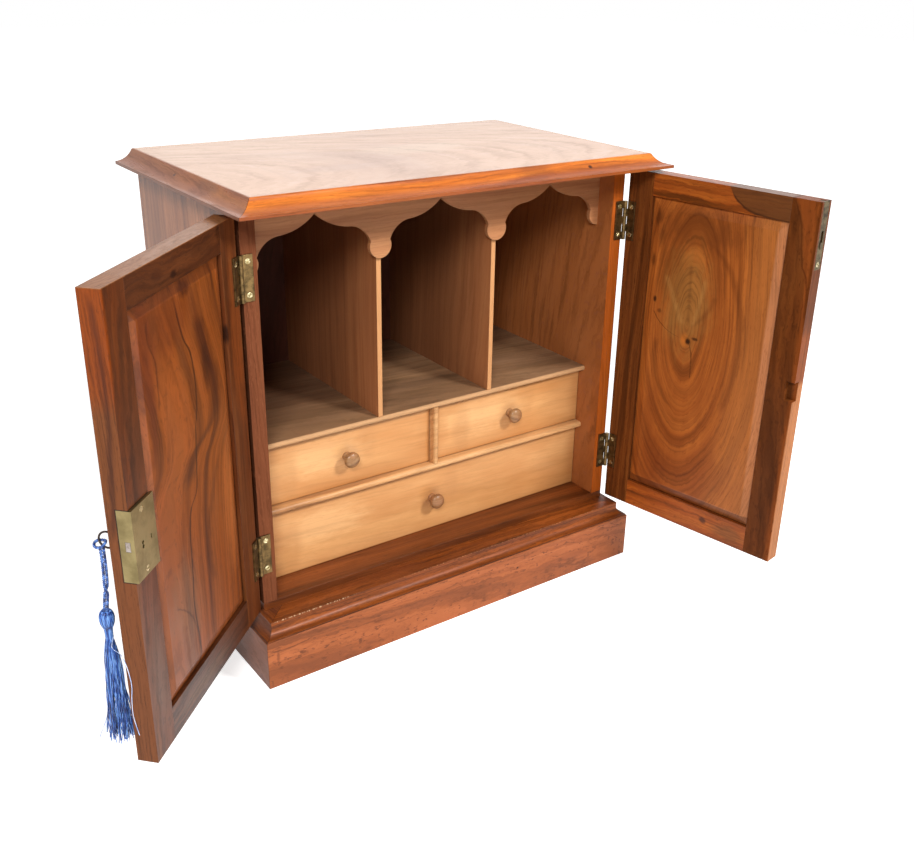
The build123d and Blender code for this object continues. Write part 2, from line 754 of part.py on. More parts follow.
def flush_plate_block():
    half = flush_plate_width / 2
    return block((door_free_edge, door_free_edge + flush_plate_thickness), (flush_y - half, flush_y + half),
                 (door_top - flush_plate_length, door_top))


def flush_screw_heads():
    return [(door_free_edge, flush_y, door_top - flush_screw_drop)]


def flush_channel():
    """Groove in the stile behind the plate that the rod slides in, open at the top."""
    half = flush_rod_radius + flush_rod_clearance
    return block((door_free_edge, flush_x + half), (flush_y - half, flush_y + half),
                 (door_top - flush_rod_length - flush_rod_clearance, door_top))


def make_flush_bolt():
    nub_top = door_top - flush_nub_drop
    half_nub = flush_nub_width / 2
    slot = block((door_free_edge - 1, door_free_edge + flush_plate_thickness + 1),
                 (flush_y - half_nub - 0.25, flush_y + half_nub + 0.25),
                 (nub_top - flush_nub_length - 0.5, nub_top + flush_travel + 0.5))
    holes = [screw_hole(head, (1, 0, 0), flush_screw_length) for head in flush_screw_heads()]
    plate = cut_all(flush_plate_block() - slot, holes)
    slide = rod((flush_x, flush_y, door_top - flush_rod_length), (flush_x, flush_y, door_top - 0.3),
                flush_rod_radius)
    nub = block((door_free_edge - flush_nub_stand, flush_x), (flush_y - half_nub, flush_y + half_nub),
                (nub_top - flush_nub_length, nub_top))
    screws = [screw(head, (1, 0, 0), flush_screw_length, (0, 1, 0.4)) for head in flush_screw_heads()]
    save(swing_open(plate, 1), "flush_bolt_plate")
    save(swing_open(slide + nub, 1), "flush_bolt_slide")
    save(swing_open(Compound(children=screws), 1), "flush_bolt_screw")


# ---------------------------------------------------------------- doors
def groove_void(x, z):
    """The groove for the panel's tongue, as the whole rebated space that the panel may fill."""
    middle = door_face_y - door_thickness / 2
    half = tongue_thickness() / 2 + 0.1
    return block(x, (middle - half, middle + half), z)


def tongue_thickness():
    return door_thickness - 2 * (panel_field_inset + panel_bevel_drop)


def door_panel(x, z):
    """Fielded panel with bevelled margins on both faces and a thin tongue all round."""
    grow = panel_groove_depth - panel_tongue_clearance
    middle = door_face_y - door_thickness / 2
    half = tongue_thickness() / 2
    tongue = block((x[0] - grow, x[1] + grow), (middle - half, middle + half), (z[0] - grow, z[1] + grow))
    gap = panel_tongue_clearance
    body = tongue
    for face, way in ((door_face_y - panel_field_inset, -1), (door_outer_y + panel_field_inset, 1)):
        centre = ((x[0] + x[1]) / 2, face, (z[0] + z[1]) / 2)
        width = x[1] - x[0] - 2 * gap
        height = z[1] - z[0] - 2 * gap
        plane = Plane(origin=centre, x_dir=(1, 0, 0), z_dir=(0, way, 0))
        field = plane * Rectangle(width - 2 * panel_bevel_width, height - 2 * panel_bevel_width)
        foot = plane.offset(panel_bevel_drop) * Rectangle(width, height)
        body = body + loft([field, foot])
    return body


def make_door(side, name):
    x = (side * door_free_edge, side * half_width)
    opening_x = (side * (door_free_edge + stile_width), side * (half_width - stile_width))
    opening_z = (door_bottom + bottom_rail_width, door_top - top_rail_width)
    y = (door_face_y, door_outer_y)
    z = (door_bottom, door_top)
    panel_x = (min(opening_x), max(opening_x))
    groove = groove_void((panel_x[0] - panel_groove_depth, panel_x[1] + panel_groove_depth),
                         (opening_z[0] - panel_groove_depth, opening_z[1] + panel_groove_depth))
    hinge_stile = block((opening_x[1], x[1]), y, z) - groove
    closing_stile = block((x[0], opening_x[0]), y, z) - groove
    top_rail = block(opening_x, y, (opening_z[1], door_top)) - groove
    bottom_rail = block(opening_x, y, (door_bottom, opening_z[0])) - groove
    holes = [screw_hole(head, (0, -1, 0), hinge_screw_length)
             for head in leaf_screw_heads(side, door_face_y + hinge_leaf_thickness)]
    hinge_stile = cut_all(hinge_stile, holes)
    if side < 0:
        cuts = [lock_case_space(lock_clearance), selvedge(), key_hole((lock_case_depth, door_thickness + 1))]
        closing_stile = cut_all(closing_stile, cuts + lock_screw_holes())
    else:
        keeper_z = (lock_z + lock_bolt_rise - keeper_height / 2, lock_z + lock_bolt_rise + keeper_height / 2)
        keeper = block((door_free_edge, door_free_edge + keeper_depth),
                       (door_face_y, door_face_y - keeper_width), keeper_z)
        holes = [screw_hole(head, (1, 0, 0), flush_screw_length) for head in flush_screw_heads()]
        closing_stile = cut_all(closing_stile, [keeper, flush_plate_block(), flush_channel()] + holes)
    save(swing_open(hinge_stile, side), f"{name}_door_hinge_stile")
    save(swing_open(closing_stile, side), f"{name}_door_closing_stile")
    save(swing_open(top_rail, side), f"{name}_door_top_rail")
    save(swing_open(bottom_rail, side), f"{name}_door_bottom_rail")
    save(swing_open(door_panel(panel_x, opening_z), side), f"{name}_door_panel")


# ---------------------------------------------------------------- the whole cabinet
make_top()
make_plinth()
make_plinth_moulding()
make_carcase()
make_divisions()
make_frieze()
make_drawers()
make_door(-1, "left")
make_door(1, "right")
make_hinges()
make_lock()
make_key()
make_tassel()
make_flush_bolt()
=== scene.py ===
# %% [markdown]
# # A walnut stationery box with panelled doors
#
# The frame of the box is loaded ready made: boards, doors, drawers, hinges and lock are solids that already
# stand in their places, in metres. This script gives them their woods and metals, makes the soft tassel,
# and sets the room.

import math
import random

import bpy
from mathutils import Matrix, Vector


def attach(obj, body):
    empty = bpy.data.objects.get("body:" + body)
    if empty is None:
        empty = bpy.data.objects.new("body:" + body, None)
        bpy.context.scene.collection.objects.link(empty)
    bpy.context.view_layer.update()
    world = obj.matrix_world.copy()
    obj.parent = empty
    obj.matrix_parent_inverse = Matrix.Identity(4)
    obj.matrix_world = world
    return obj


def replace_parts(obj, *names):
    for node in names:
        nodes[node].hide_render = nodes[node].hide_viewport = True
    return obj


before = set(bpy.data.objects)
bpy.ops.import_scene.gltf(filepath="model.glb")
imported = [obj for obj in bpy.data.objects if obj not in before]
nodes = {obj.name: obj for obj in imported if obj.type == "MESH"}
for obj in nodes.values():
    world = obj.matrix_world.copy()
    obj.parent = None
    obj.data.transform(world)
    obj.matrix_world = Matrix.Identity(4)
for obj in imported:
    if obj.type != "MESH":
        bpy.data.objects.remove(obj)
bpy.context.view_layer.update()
print("solids:", len(nodes))

# %% [markdown]
# ## The camera
#
# The camera stands in front of the box and to its left, a little above the top, and looks down along the
# open left door. It could be aimed with a Track To constraint. It is placed by its axes instead, because it
# also leans by a degree and a half, and a constraint keeps the camera upright.

# %% Place the camera
azimuth, elevation, lean = (math.radians(degrees) for degrees in (36.823, 23.901, 1.551))
eye = (-0.5020, -0.6953, 0.5688)
camera = bpy.data.objects.new("camera", bpy.data.cameras.new("camera"))
bpy.context.collection.objects.link(camera)
forward = Vector((math.sin(azimuth) * math.cos(elevation), math.cos(azimuth) * math.cos(elevation),
                  -math.sin(elevation)))
level_right = Vector((math.cos(azimuth), -math.sin(azimuth), 0))
level_up = level_right.cross(forward)
right = level_right * math.cos(lean) + level_up * math.sin(lean)
up = right.cross(forward)
turn = Matrix((right, up, -forward)).transposed().to_4x4()
camera.matrix_world = Matrix.Translation(eye) @ turn
camera.data.lens = 41.987
camera.data.shift_x, camera.data.shift_y = -0.0258, -0.0018
camera.data.clip_start = 0.02
bpy.context.scene.camera = camera
print("camera at", tuple(round(v, 3) for v in camera.location))

# %% [markdown]
# ## Helpers for materials
#
# Every colour is written as the sRGB hex value that a paint chart gives, and one function turns it into the
# linear values that Blender's shaders count in. A second one adds a node, sets it and wires it, so that a
# material reads as a list of steps. A third sets the stops of a colour ramp, which is a list that a new
# node doesn't take. The last two start a material and lay it on pieces.

# %% Helpers for colour and nodes
def linear(colour):
    """An sRGB hex colour as linear red, green, blue and alpha."""
    values = [int(colour[i:i + 2], 16) / 255 for i in (1, 3, 5)]
    return [v / 12.92 if v <= 0.04045 else ((v + 0.055) / 1.055) ** 2.4 for v in values] + [1.0]


def add(tree, kind, inputs=(), operation=None, **settings):
    """Add a shader node. Each input is a value, a socket, or a node whose first output is taken."""
    node = tree.nodes.new("ShaderNode" + kind)
    if operation:
        settings["operation"] = operation
    for key, value in settings.items():
        setattr(node, key, value)
    for key, value in dict(inputs).items():
        if isinstance(value, bpy.types.Node):
            value = value.outputs[0]
        if isinstance(value, bpy.types.NodeSocket):
            tree.links.new(value, node.inputs[key])
        else:
            node.inputs[key].default_value = value
    return node


def ramp(node, stops):
    """Set a colour ramp's stops, given as place and hex colour or grey value."""
    elements = node.color_ramp.elements
    while len(elements) > 1:
        elements.remove(elements[-1])
    for index, (place, colour) in enumerate(stops):
        element = elements[0] if index == 0 else elements.new(place)
        element.position = place
        element.color = linear(colour) if isinstance(colour, str) else (colour, colour, colour, 1)
    return node


def new_material(name):
    """An empty node material and its tree."""
    material = bpy.data.materials.new(name)
    material.use_nodes = True
    material.node_tree.nodes.clear()
    return material, material.node_tree


def dress(material, *pieces):
    """Give a material to pieces. A piece of the frame is given by its name."""
    for piece in pieces:
        piece = nodes[piece] if isinstance(piece, str) else piece
        piece.data.materials.clear()
        piece.data.materials.append(material)
    print(material.name, "on", len(pieces), "pieces")


print("mid grey #808080 is", round(linear("#808080")[0], 3), "in linear light")

# %% [markdown]
# ## Boards and their grain
#
# Wood is a solid, so its pattern is drawn in space and each board cuts through it. A tree's rings are tubes
# round its heart. A board that is sawn near the heart shows broad arches, and one sawn far from it shows
# straight lines. So the material works out how far each point of the board lies from such a heart line, and
# that distance picks the ring. An image could be laid on each face, but it would break at every corner of a
# board. All distances are millimetres: the first runs along the grain, the second across the board's face,
# the third into the wood.

# %% Small measures made of nodes
def off_middle(tree, value, middle):
    """How far a value is from a middle, on either side of it."""
    off = add(tree, "Math", {0: value, 1: -middle}, "ADD")
    return add(tree, "Math", {0: off}, "ABSOLUTE")


def distance(tree, over, up):
    """The length of an offset that is given by two values."""
    away = add(tree, "VectorMath", {0: add(tree, "CombineXYZ", {0: over, 1: up})}, "LENGTH")
    return away.outputs["Value"]


def stretched(tree, *parts):
    """A place in a noise. Each part is a value over the size of its features, plus an offset."""
    return add(tree, "CombineXYZ", {
        index: add(tree, "Math", {0: value, 1: 1 / size, 2: offset}, "MULTIPLY_ADD")
        for index, (value, size, offset) in enumerate(parts)})


print("three measures")

# %% Where a point lies in its board
FINE_NOISE = {"Scale": 1.0, "Detail": 3.0, "Roughness": 0.6}


def board_space(tree, order, hinge, turned, mitre):
    """Millimetres along the grain, across the face and into the wood, by the order of the object's axes.

    Where a frame is mitred, its side pieces run front to back, so the two level axes change places there."""
    place = add(tree, "TexCoord")
    flat = add(tree, "Mapping", {"Vector": place.outputs["Object"], "Location": hinge,
                                 "Rotation": (0, 0, turned), "Scale": (0.001, 0.001, 0.001)},
               vector_type="TEXTURE")
    split = add(tree, "SeparateXYZ", {0: flat})
    axes = dict(zip("XYZ", split.outputs))
    board = {}
    if mitre is not None:
        joint = add(tree, "Math", {0: axes["X"]}, "ABSOLUTE")
        joint = add(tree, "Math", {0: joint, 1: axes["Y"]}, "ADD")
        joint = add(tree, "Math", {0: joint, 1: -mitre}, "ADD")
        on_side = add(tree, "Math", {0: joint, 1: 0.0}, "GREATER_THAN")
        front_run, side_run = axes["X"], axes["Y"]
        axes["X"] = add(tree, "Mix", {0: on_side, 2: front_run, 3: side_run}).outputs[0]
        axes["Y"] = add(tree, "Mix", {0: on_side, 2: side_run, 3: front_run}).outputs[0]
        board["joint"] = joint
    board["along"], board["across"], board["into"] = (axes[axis] for axis in order)
    ragged = stretched(tree, (board["along"], 16, 0), (board["across"], 5, 0), (board["into"], 5, 0))
    board["ragged"] = add(tree, "TexNoise", {"Vector": ragged, **FINE_NOISE})
    return board


def heart_line(across=0.0, depth=-60.0, lean=0.05, flow=()):
    """Rings round a heart that lies at a depth behind the face, leans into the board and may bend."""
    def grain(tree, along, over, into):
        side = add(tree, "Math", {0: over, 1: -across}, "ADD")
        if flow:
            side = add(tree, "Math", {0: side, 1: curve_at(tree, along, flow)}, "SUBTRACT")
        deep = add(tree, "Math", {0: along, 1: lean, 2: -depth}, "MULTIPLY_ADD")
        deep = add(tree, "Math", {0: deep, 1: into}, "ADD")
        return distance(tree, side, deep)
    return grain


def round_knot(centre, above, below):
    """Rings round a knot in the face, longer above it and below it than beside it."""
    def grain(tree, along, over, into):
        up = add(tree, "Math", {0: along, 1: -centre[0]}, "ADD")
        both = add(tree, "Math", {0: up}, "ABSOLUTE")
        both = add(tree, "Math", {0: both, 1: (above - below) / 2}, "MULTIPLY")
        up = add(tree, "Math", {0: up, 1: (above + below) / 2, 2: both}, "MULTIPLY_ADD")
        side = add(tree, "Math", {0: over, 1: -centre[1]}, "ADD")
        return distance(tree, side, up)
    return grain


print("two ways for the rings to lie: along a heart, round a knot")

# %% [markdown]
# ## Marks in the wood
#
# A figured board has veins, knots, sapwood and stains that a ring pattern alone doesn't give, and this box
# is known by them. They could be painted on an image. Here each one is a few numbers: a line through drawn
# points, the wood beyond such a line, or a soft round spot, always with an edge that a noise makes uneven.
# A mark gives a mask and a colour.

# %% Drawn lines
def curve_at(tree, along, points):
    """The place, in millimetres, of a drawn line given as (along, across) points."""
    start, end = points[0][0], points[-1][0]
    low = min(y for _, y in points)
    high = max(max(y for _, y in points), low + 1.0)
    share = add(tree, "MapRange", {0: along, 1: start, 2: end, 3: 0.0, 4: 1.0})
    drawn = add(tree, "FloatCurve", {"Value": share})
    spots = [((x - start) / (end - start), (y - low) / (high - low)) for x, y in points]
    curve = drawn.mapping.curves[0]
    curve.points[0].location, curve.points[1].location = spots[0], spots[-1]
    for place in spots[1:-1]:
        curve.points.new(*place)
    drawn.mapping.update()
    return add(tree, "Math", {0: drawn, 1: high - low, 2: low}, "MULTIPLY_ADD")


def off_line(tree, board, points, axis, wobble):
    """Signed distance from a drawn line, made uneven by a wobble in millimetres."""
    line = curve_at(tree, board["along"], points)
    off = add(tree, "Math", {0: board[axis], 1: line}, "SUBTRACT")
    off = add(tree, "Math", {0: board["ragged"], 1: wobble, 2: off}, "MULTIPLY_ADD")
    return add(tree, "Math", {0: off, 1: -wobble / 2}, "ADD")


def masked_ends(tree, mask, along, start, end, kept):
    """A mask that fades out at both ends of its run. The middle share of the run is kept whole."""
    half = abs(end - start) / 2
    off = off_middle(tree, along, (start + end) / 2)
    run = add(tree, "MapRange", {0: off, 1: half * kept, 2: half, 3: 1.0, 4: 0.0})
    return add(tree, "Math", {0: mask, 1: run}, "MULTIPLY")


def vein(points, width, depth, colour, axis="across", wobble=3.0):
    """A line in the figure that follows drawn points and ends with them."""
    def mark(tree, board):
        off = add(tree, "Math", {0: off_line(tree, board, points, axis, wobble)}, "ABSOLUTE")
        edge = add(tree, "Math", {0: board["ragged"], 1: width * 1.4, 2: width * 0.3},
                   "MULTIPLY_ADD")
        mask = add(tree, "MapRange", {0: off, 1: 0.0, 2: edge, 3: depth, 4: 0.0},
                   interpolation_type="SMOOTHSTEP")
        return masked_ends(tree, mask, board["along"], points[0][0], points[-1][0], 0.85), colour
    return mark


def beyond(points, soft, depth, colour, side=1, axis="across", wobble=3.0):
    """Wood of another colour on one side of a drawn line."""
    def mark(tree, board):
        off = off_line(tree, board, points, axis, wobble)
        off = add(tree, "Math", {0: off, 1: side}, "MULTIPLY")
        mask = add(tree, "MapRange", {0: off, 1: -soft, 2: soft, 3: 0.0, 4: depth},
                   interpolation_type="SMOOTHSTEP")
        return mask, colour
    return mark


print("marks along a line:", vein.__name__, beyond.__name__)

# %% Spots, worn edges and joints
def spot(centre, size, depth, colour, core=0.3):
    """A knot, stain or pale patch with a soft, uneven edge."""
    def mark(tree, board):
        x, y = (add(tree, "Math", {0: board[axis], 1: 1 / half, 2: -middle / half}, "MULTIPLY_ADD")
                for axis, middle, half in zip(("along", "across"), centre, size))
        away = distance(tree, x, y)
        away = add(tree, "Math", {0: board["ragged"], 1: 0.9, 2: away}, "MULTIPLY_ADD")
        mask = add(tree, "MapRange", {0: away, 1: core + 0.45, 2: 1.45, 3: depth, 4: 0.0},
                   interpolation_type="SMOOTHSTEP")
        return mask, colour
    return mark


def worn_edge(start, end, corner, width, depth, colour):
    """Broken specks along an edge that lies at one place across the face and into the wood."""
    def mark(tree, board):
        over = add(tree, "Math", {0: board["across"], 1: -corner[0]}, "ADD")
        deep = add(tree, "Math", {0: board["into"], 1: -corner[1]}, "ADD")
        away = distance(tree, over, deep)
        mask = add(tree, "MapRange", {0: away, 1: width * 0.5, 2: width, 3: depth, 4: 0.0})
        chips = add(tree, "TexNoise", {"W": board["along"], "Scale": 0.45, "Detail": 4.0, "Roughness": 0.8},
                    noise_dimensions="1D")
        chips = add(tree, "MapRange", {0: chips, 1: 0.50, 2: 0.60, 3: 0.0, 4: 1.0})
        mask = add(tree, "Math", {0: mask, 1: chips}, "MULTIPLY")
        return masked_ends(tree, mask, board["along"], start, end, 0.7), colour
    return mark


def box_distance_mark(low, high, full, none, depth, colour=None):
    """A mark by its distance from a box given by two corners as (along, across, into). It draws painted
    shade in gaps and on faces, painted light on faces, and dark edges and outlines.

    The mark is full at one distance outside the box and gone at the other, and a distance inside it is
    negative. It needs no colour where only its mask is used."""
    def mark(tree, board):
        away = None
        for axis, near, far in zip(("along", "across", "into"), low, high):
            off = off_middle(tree, board[axis], (near + far) / 2)
            off = add(tree, "Math", {0: off, 1: -(far - near) / 2}, "ADD")
            away = off if away is None else add(tree, "Math", {0: away, 1: off}, "MAXIMUM")
        return add(tree, "MapRange", {0: away, 1: full, 2: none, 3: depth, 4: 0.0}), colour
    return mark


def side_runs(depth, colour):
    """The runs past a mitre, along the sides, in another colour than the front one."""
    def mark(tree, board):
        return add(tree, "MapRange", {0: board["joint"], 1: -0.2, 2: 0.2, 3: 0.0, 4: depth}), colour
    return mark


def mitre_line(width, colour):
    """The dark hairline where two mitred mouldings meet."""
    def mark(tree, board):
        off = add(tree, "Math", {0: board["joint"]}, "ABSOLUTE")
        return add(tree, "MapRange", {0: off, 1: width * 0.4, 2: width, 3: 0.85, 4: 0.0}), colour
    return mark


print("marks at a place:", *(mark.__name__ for mark in (spot, worn_edge, box_distance_mark, side_runs, mitre_line)))

# %% [markdown]
# ## Polished walnut
#
# Walnut is brown with a red or orange cast, and it is full of drawn-out pores that show as short dark
# dashes along the grain. French polish and wax lie over it as a thin clear coat. The colour is built up in
# the order in which the eye reads it: the year rings, slow clouds of red or grey, marks such as knots and
# dark veins, fine lines, pores. The pores of real walnut are a fifth of a millimetre wide. Here they are
# drawn about twice as wide, so that they still show when the whole box is in view.

# %% The walnut material
def walnut(name, order, colours, hinge=(0, 0, 0), turned=0.0, mitre=None, seed=0.0, grain=heart_line(),
           ring=9.0, sway=7.0, contrast=0.6, cloud=("#a8603c", 0.3), marks=(), lines=0.6, pores=0.45,
           gloss=0.36, coat=0.03, shine=0.22, fray=1.4, bare=None):
    """Rings, clouds, marks, fine lines and pores under a waxed polish.

    A year's width, how far the rings sway and how far they fray are millimetres, and a lower gloss is
    shinier. Contrast, lines, pores and coat run from 0 to 1, and bare marks where no polish reaches."""
    light, mid, dark = colours
    material, tree = new_material(name)
    board = board_space(tree, order, hinge, turned, mitre)
    along, across, into = board["along"], board["across"], board["into"]
    # a slow drift of the pattern, about a hand long, bends the rings
    slow = stretched(tree, (along, 170, 0), (across, 55, 0), (into, 55, seed))
    bend = add(tree, "TexNoise", {"Vector": slow, "Scale": 1.0, "Detail": 2.0, "Roughness": 0.45})
    over = add(tree, "Math", {0: bend, 1: 2 * sway, 2: across}, "MULTIPLY_ADD")
    over = add(tree, "Math", {0: over, 1: -sway}, "ADD")
    away = grain(tree, along, over, into)
    away = add(tree, "Math", {0: board["ragged"], 1: 2 * fray, 2: away}, "MULTIPLY_ADD")
    # year rings, a little different from end to end
    year = stretched(tree, (away, ring, 0), (along, 260, seed))
    year = add(tree, "TexNoise", {"Vector": year, **FINE_NOISE}, noise_dimensions="2D")
    spread = 0.30 - 0.2 * contrast
    stops = [(0.5 - spread, dark), (0.5, mid), (0.5 + spread, light)]
    colour = ramp(add(tree, "ValToRGB", {0: year}), stops)
    # clouds, then the marks, one over the other
    patch = add(tree, "TexNoise", {"Vector": slow, "Scale": 2.3, "Detail": 3.0, "Roughness": 0.5})
    patch = add(tree, "MapRange", {0: patch, 1: 0.42, 2: 0.68, 3: 0.0, 4: cloud[1]})
    for mask, tone in [(patch, cloud[0])] + [mark(tree, board) for mark in marks]:
        colour = add(tree, "Mix", {0: mask, 6: colour, 7: linear(tone)}, data_type="RGBA").outputs[2]
    # fine lines 1.3 mm apart and 60 mm long, and pores that follow them
    thread = stretched(tree, (along, 60, 0), (away, 1.3, seed), (into, 4, 0))
    hair = add(tree, "TexNoise", {"Vector": thread, **FINE_NOISE})
    shade = ramp(add(tree, "ValToRGB", {0: hair}), [(0.30, 0.4), (0.52, 0.92), (0.75, 1.0)])
    colour = add(tree, "Mix", {0: lines, 6: colour, 7: shade}, data_type="RGBA",
                 blend_type="MULTIPLY").outputs[2]
    dash = add(tree, "VectorMath", {0: thread, 1: (9.0, 1.7, 5.0)}, "MULTIPLY")
    pore = add(tree, "TexNoise", {"Vector": dash, "Scale": 1.0, "Detail": 1.0, "Roughness": 0.5})
    pore = add(tree, "MapRange", {0: pore, 1: 0.60, 2: 0.72, 3: 0.0, 4: pores})
    colour = add(tree, "Mix", {0: pore, 6: colour, 7: linear(dark)}, data_type="RGBA").outputs[2]
    # the polish: a little duller in the pores, softened edges, and a thin clear coat
    rough = add(tree, "MapRange", {0: hair, 1: 0.3, 2: 0.7, 3: gloss + 0.08, 4: gloss - 0.04})
    rounded = add(tree, "Bevel", {"Radius": 0.0006}, samples=4)
    height = add(tree, "Math", {0: hair, 1: pore}, "SUBTRACT")
    relief = add(tree, "Bump", {"Strength": 0.2, "Distance": 0.00006, "Height": height, "Normal": rounded})
    if bare:
        coat = add(tree, "MapRange", {0: bare(tree, board)[0], 1: 0.0, 2: 1.0, 3: coat, 4: 0.0})
    shader = add(tree, "BsdfPrincipled", {"Base Color": colour, "Roughness": rough, "Normal": relief,
                                          "Coat Weight": coat, "Coat Roughness": 0.2,
                                          "Specular IOR Level": shine, "IOR": 1.5})
    add(tree, "OutputMaterial", {"Surface": shader})
    return material


print("walnut is drawn as rings, clouds, marks, lines and pores, under polish")

# %% [markdown]
# ## The carcase, the top and the plinth
#
# The top board is faded by light to a pinkish brown, and its cove is a brighter orange. The sides are
# quieter. The plinth is planted with a moulding that is darker on its flat and redder below, with polish
# worn off its arris. The boards could share one walnut. Each has its own colours and heart line instead,
# because no two boards of the real box come from the same part of a tree. Where the open door's stile lies
# against a side, the gap is painted shade, a dark line that takes no shine.

# %% Walnut of the top
COVE_MITRE, PLINTH_MITRE = 184.3, 192.4  # millimetres sideways and back, added, at any point of the mitre

top_marks = [spot((20, 110), (70, 30), 0.45, "#dcb48e"), spot((-80, 60), (60, 18), 0.3, "#9c6448")]
dress(walnut("walnut_top_board", "XYZ", ("#d69c68", "#cc905e", "#b07446"), seed=1.3, ring=18, contrast=0.1,
             lines=0.4, grain=heart_line(60, -70, 0.08), cloud=("#d8a276", 0.5), marks=top_marks, gloss=0.32,
             coat=0.25, shine=0.5), "top_board")
cove_marks = [
    spot((58, 408), (26, 8), 0.5, "#7a3c1c"), spot((118, 407), (3, 1.6), 0.9, "#2a120a"),
    beyond([(-210, 405.4), (210, 405.4)], 1.4, 0.4, "#a05234", side=-1, wobble=0.8),
    beyond([(-210, 402.6), (210, 402.6)], 0.3, 0.55, "#5e2c14", side=-1, wobble=0.8),
    side_runs(0.5, "#8e6450"), mitre_line(0.35, "#2c140a")]
dress(walnut("walnut_top_cove", "XZY", ("#e88a34", "#d07026", "#8c451a"), seed=2.1, ring=7, contrast=0.4,
             mitre=COVE_MITRE, grain=heart_line(0, -40, 0.12), cloud=("#a8521c", 0.5), marks=cove_marks,
             gloss=0.3), "top_moulding")

# %% Walnut of the sides
for side, way, front_tone in (("left", -1, "#70402a"), ("right", 1, "#b0561a")):
    inner, outer = way * 177.7, way * 190
    near, far = sorted((way * 177, way * 191))
    side_marks = [
        beyond([(60, inner), (400, inner)], 0.1, 0.85, "#9c5a2c", side=-way, axis="into", wobble=0.0),
        # painted shade in the gap where the open door's stile lies against the side
        box_distance_mark((50, 10, outer - 1), (400, 26, outer + 1), 1.0, 6.0, 0.9, "#3a1c12"),
        beyond([(60, 19.2), (400, 19.2)], 0.3, 0.95, front_tone, side=-1, wobble=0.0)]
    dress(walnut(f"walnut_{side}_side", "ZYX", ("#d28c60", "#bc764c", "#8c5438"), seed=3.2 + way, ring=9,
                 contrast=0.3, cloud=("#9c6444", 0.4), marks=side_marks, shine=0.0, coat=0.7,
                 bare=box_distance_mark((50, 10, near), (400, 26, far), 1.0, 6.0, 1.0)), f"carcase_side_{side}")

# %% Walnut of the plinth and the base
plinth_marks = [
    vein([(-200, 36), (-180, 35), (-160, 38)], 0.8, 0.7, "#451e0d", wobble=5.0),
    spot((-193, 30), (2, 8), 0.5, "#4a2110"), spot((60, 30), (2, 1.5), 0.9, "#271006"),
    spot((120, 20), (50, 6), 0.3, "#743a1e"), side_runs(0.5, "#5e382a")]
dress(walnut("walnut_plinth_boards", "XZY", ("#b4663a", "#9e562c", "#6e3a1e"), seed=4.4, ring=7,
             contrast=0.05, fray=3.0, mitre=PLINTH_MITRE, cloud=("#8a4a28", 0.35), marks=plinth_marks,
             pores=1.0, gloss=0.42), "plinth_front", "plinth_left", "plinth_right", "plinth_back")
dress(walnut("walnut_base_board", "XZY", ("#86461c", "#703814", "#48220a"), seed=5.1, ring=12, contrast=0.4,
             cloud=("#743a1a", 0.4)), "base_board")
arris = (58.3, -1.8)
moulding_marks = [
    worn_edge(-196, -110, arris, 1.0, 0.9, "#e1bb8f"), worn_edge(-80, 190, arris, 0.7, 0.5, "#ca8d58"),
    vein([(-210, 45.6), (210, 45.6)], 0.9, 0.8, "#2a1208", wobble=0.4),
    vein([(-210, 55.2), (210, 55.2)], 0.8, 0.6, "#3a1a0a", wobble=0.6),
    side_runs(0.4, "#4e281a"), mitre_line(0.35, "#281005")]
dress(walnut("walnut_plinth_moulding", "XZY", ("#a0541f", "#844214", "#52260c"), seed=5.7, ring=5,
             contrast=0.3, fray=3.0, lines=0.85, pores=0.8, mitre=PLINTH_MITRE, cloud=("#80401f", 0.5),
             marks=moulding_marks, gloss=0.42), "plinth_moulding")

# %% [markdown]
# ## The left door
#
# Each door's boards are named by where they lie when the door is shut, measured from its hinge. The pattern
# could be drawn for the open door as it stands, but every mark would then lie askew. Turning it by the
# door's opening angle lays it square on the boards. The left panel has dark veins that run down it like
# smoke, and the grain follows them.

# %% Walnut of the left door
LEFT = {"hinge": (-0.1914, 0.0168, 0), "turned": math.radians(-136.7)}
RIGHT = {"hinge": (0.1914, 0.0168, 0), "turned": math.radians(100.3)}
DOOR_TOP, DOOR_EDGE = 394.2, 190.7  # a door's top above the floor, and its closing edge from its hinge
FAR = 400  # past the end of every board of a door


def panel_gap_shade(way):
    """Painted shade in the gap round a panel, inside the frame of the left door (1) or the right one (-1).
    """
    near, far = sorted((way * 27.9, way * 164.4))
    return box_distance_mark((86.8, near, -30), (373.8, far, 30), -0.2, -1.3, 0.8, "#190b05")


smoke = [(84, 112), (117, 113.9), (142, 116.1), (164, 114), (197, 112), (212, 108), (224, 96), (262, 90),
         (293, 84), (310, 85), (336, 97), (361, 104), (374, 106)]
broad = [(84, 90), (149, 88), (177, 87.7), (215, 82.7), (235, 76.6), (250, 62), (268, 53), (291, 56),
         (319, 65), (347, 75.6), (374, 82)]
left_panel_marks = [
    spot((335, 148), (60, 16), 0.45, "#642614"), spot((150, 125), (50, 30), 0.35, "#785a42"),
    vein([(228, 108), (247, 99), (256, 76), (268, 58), (289, 54), (314, 66), (345, 74)], 15, 0.65,
         "#35180f"),
    vein(broad, 9, 0.5, "#3c1a0e"), spot((303, 66), (24, 9), 0.6, "#26110c"),
    vein(smoke, 1.8, 0.9, "#24100a", wobble=2.0),
    vein([(298, 138), (329, 136), (351, 144), (363, 135)], 1.6, 0.6, "#34160c"),
    vein([(262, 158), (295, 146), (314, 146), (345, 153)], 8, 0.45, "#54200f"),
    vein([(114, 114), (133, 121), (154, 144)], 1.8, 0.55, "#35180d"),
    vein([(138, 79), (170, 85), (205, 73), (232, 56)], 6, 0.4, "#402010"),
    spot((180, 45), (70, 12), 0.4, "#b0622c"), spot((352, 120), (30, 50), 0.4, "#5c2410"),
    # painted shade on the panel's top bevel
    box_distance_mark((-99, -FAR, -99), (365.3, FAR, 99), 0.5, -0.4, 0.45, "#3c190a"),
    spot((366, 88), (8, 12), 0.7, "#30130a"), panel_gap_shade(1)]
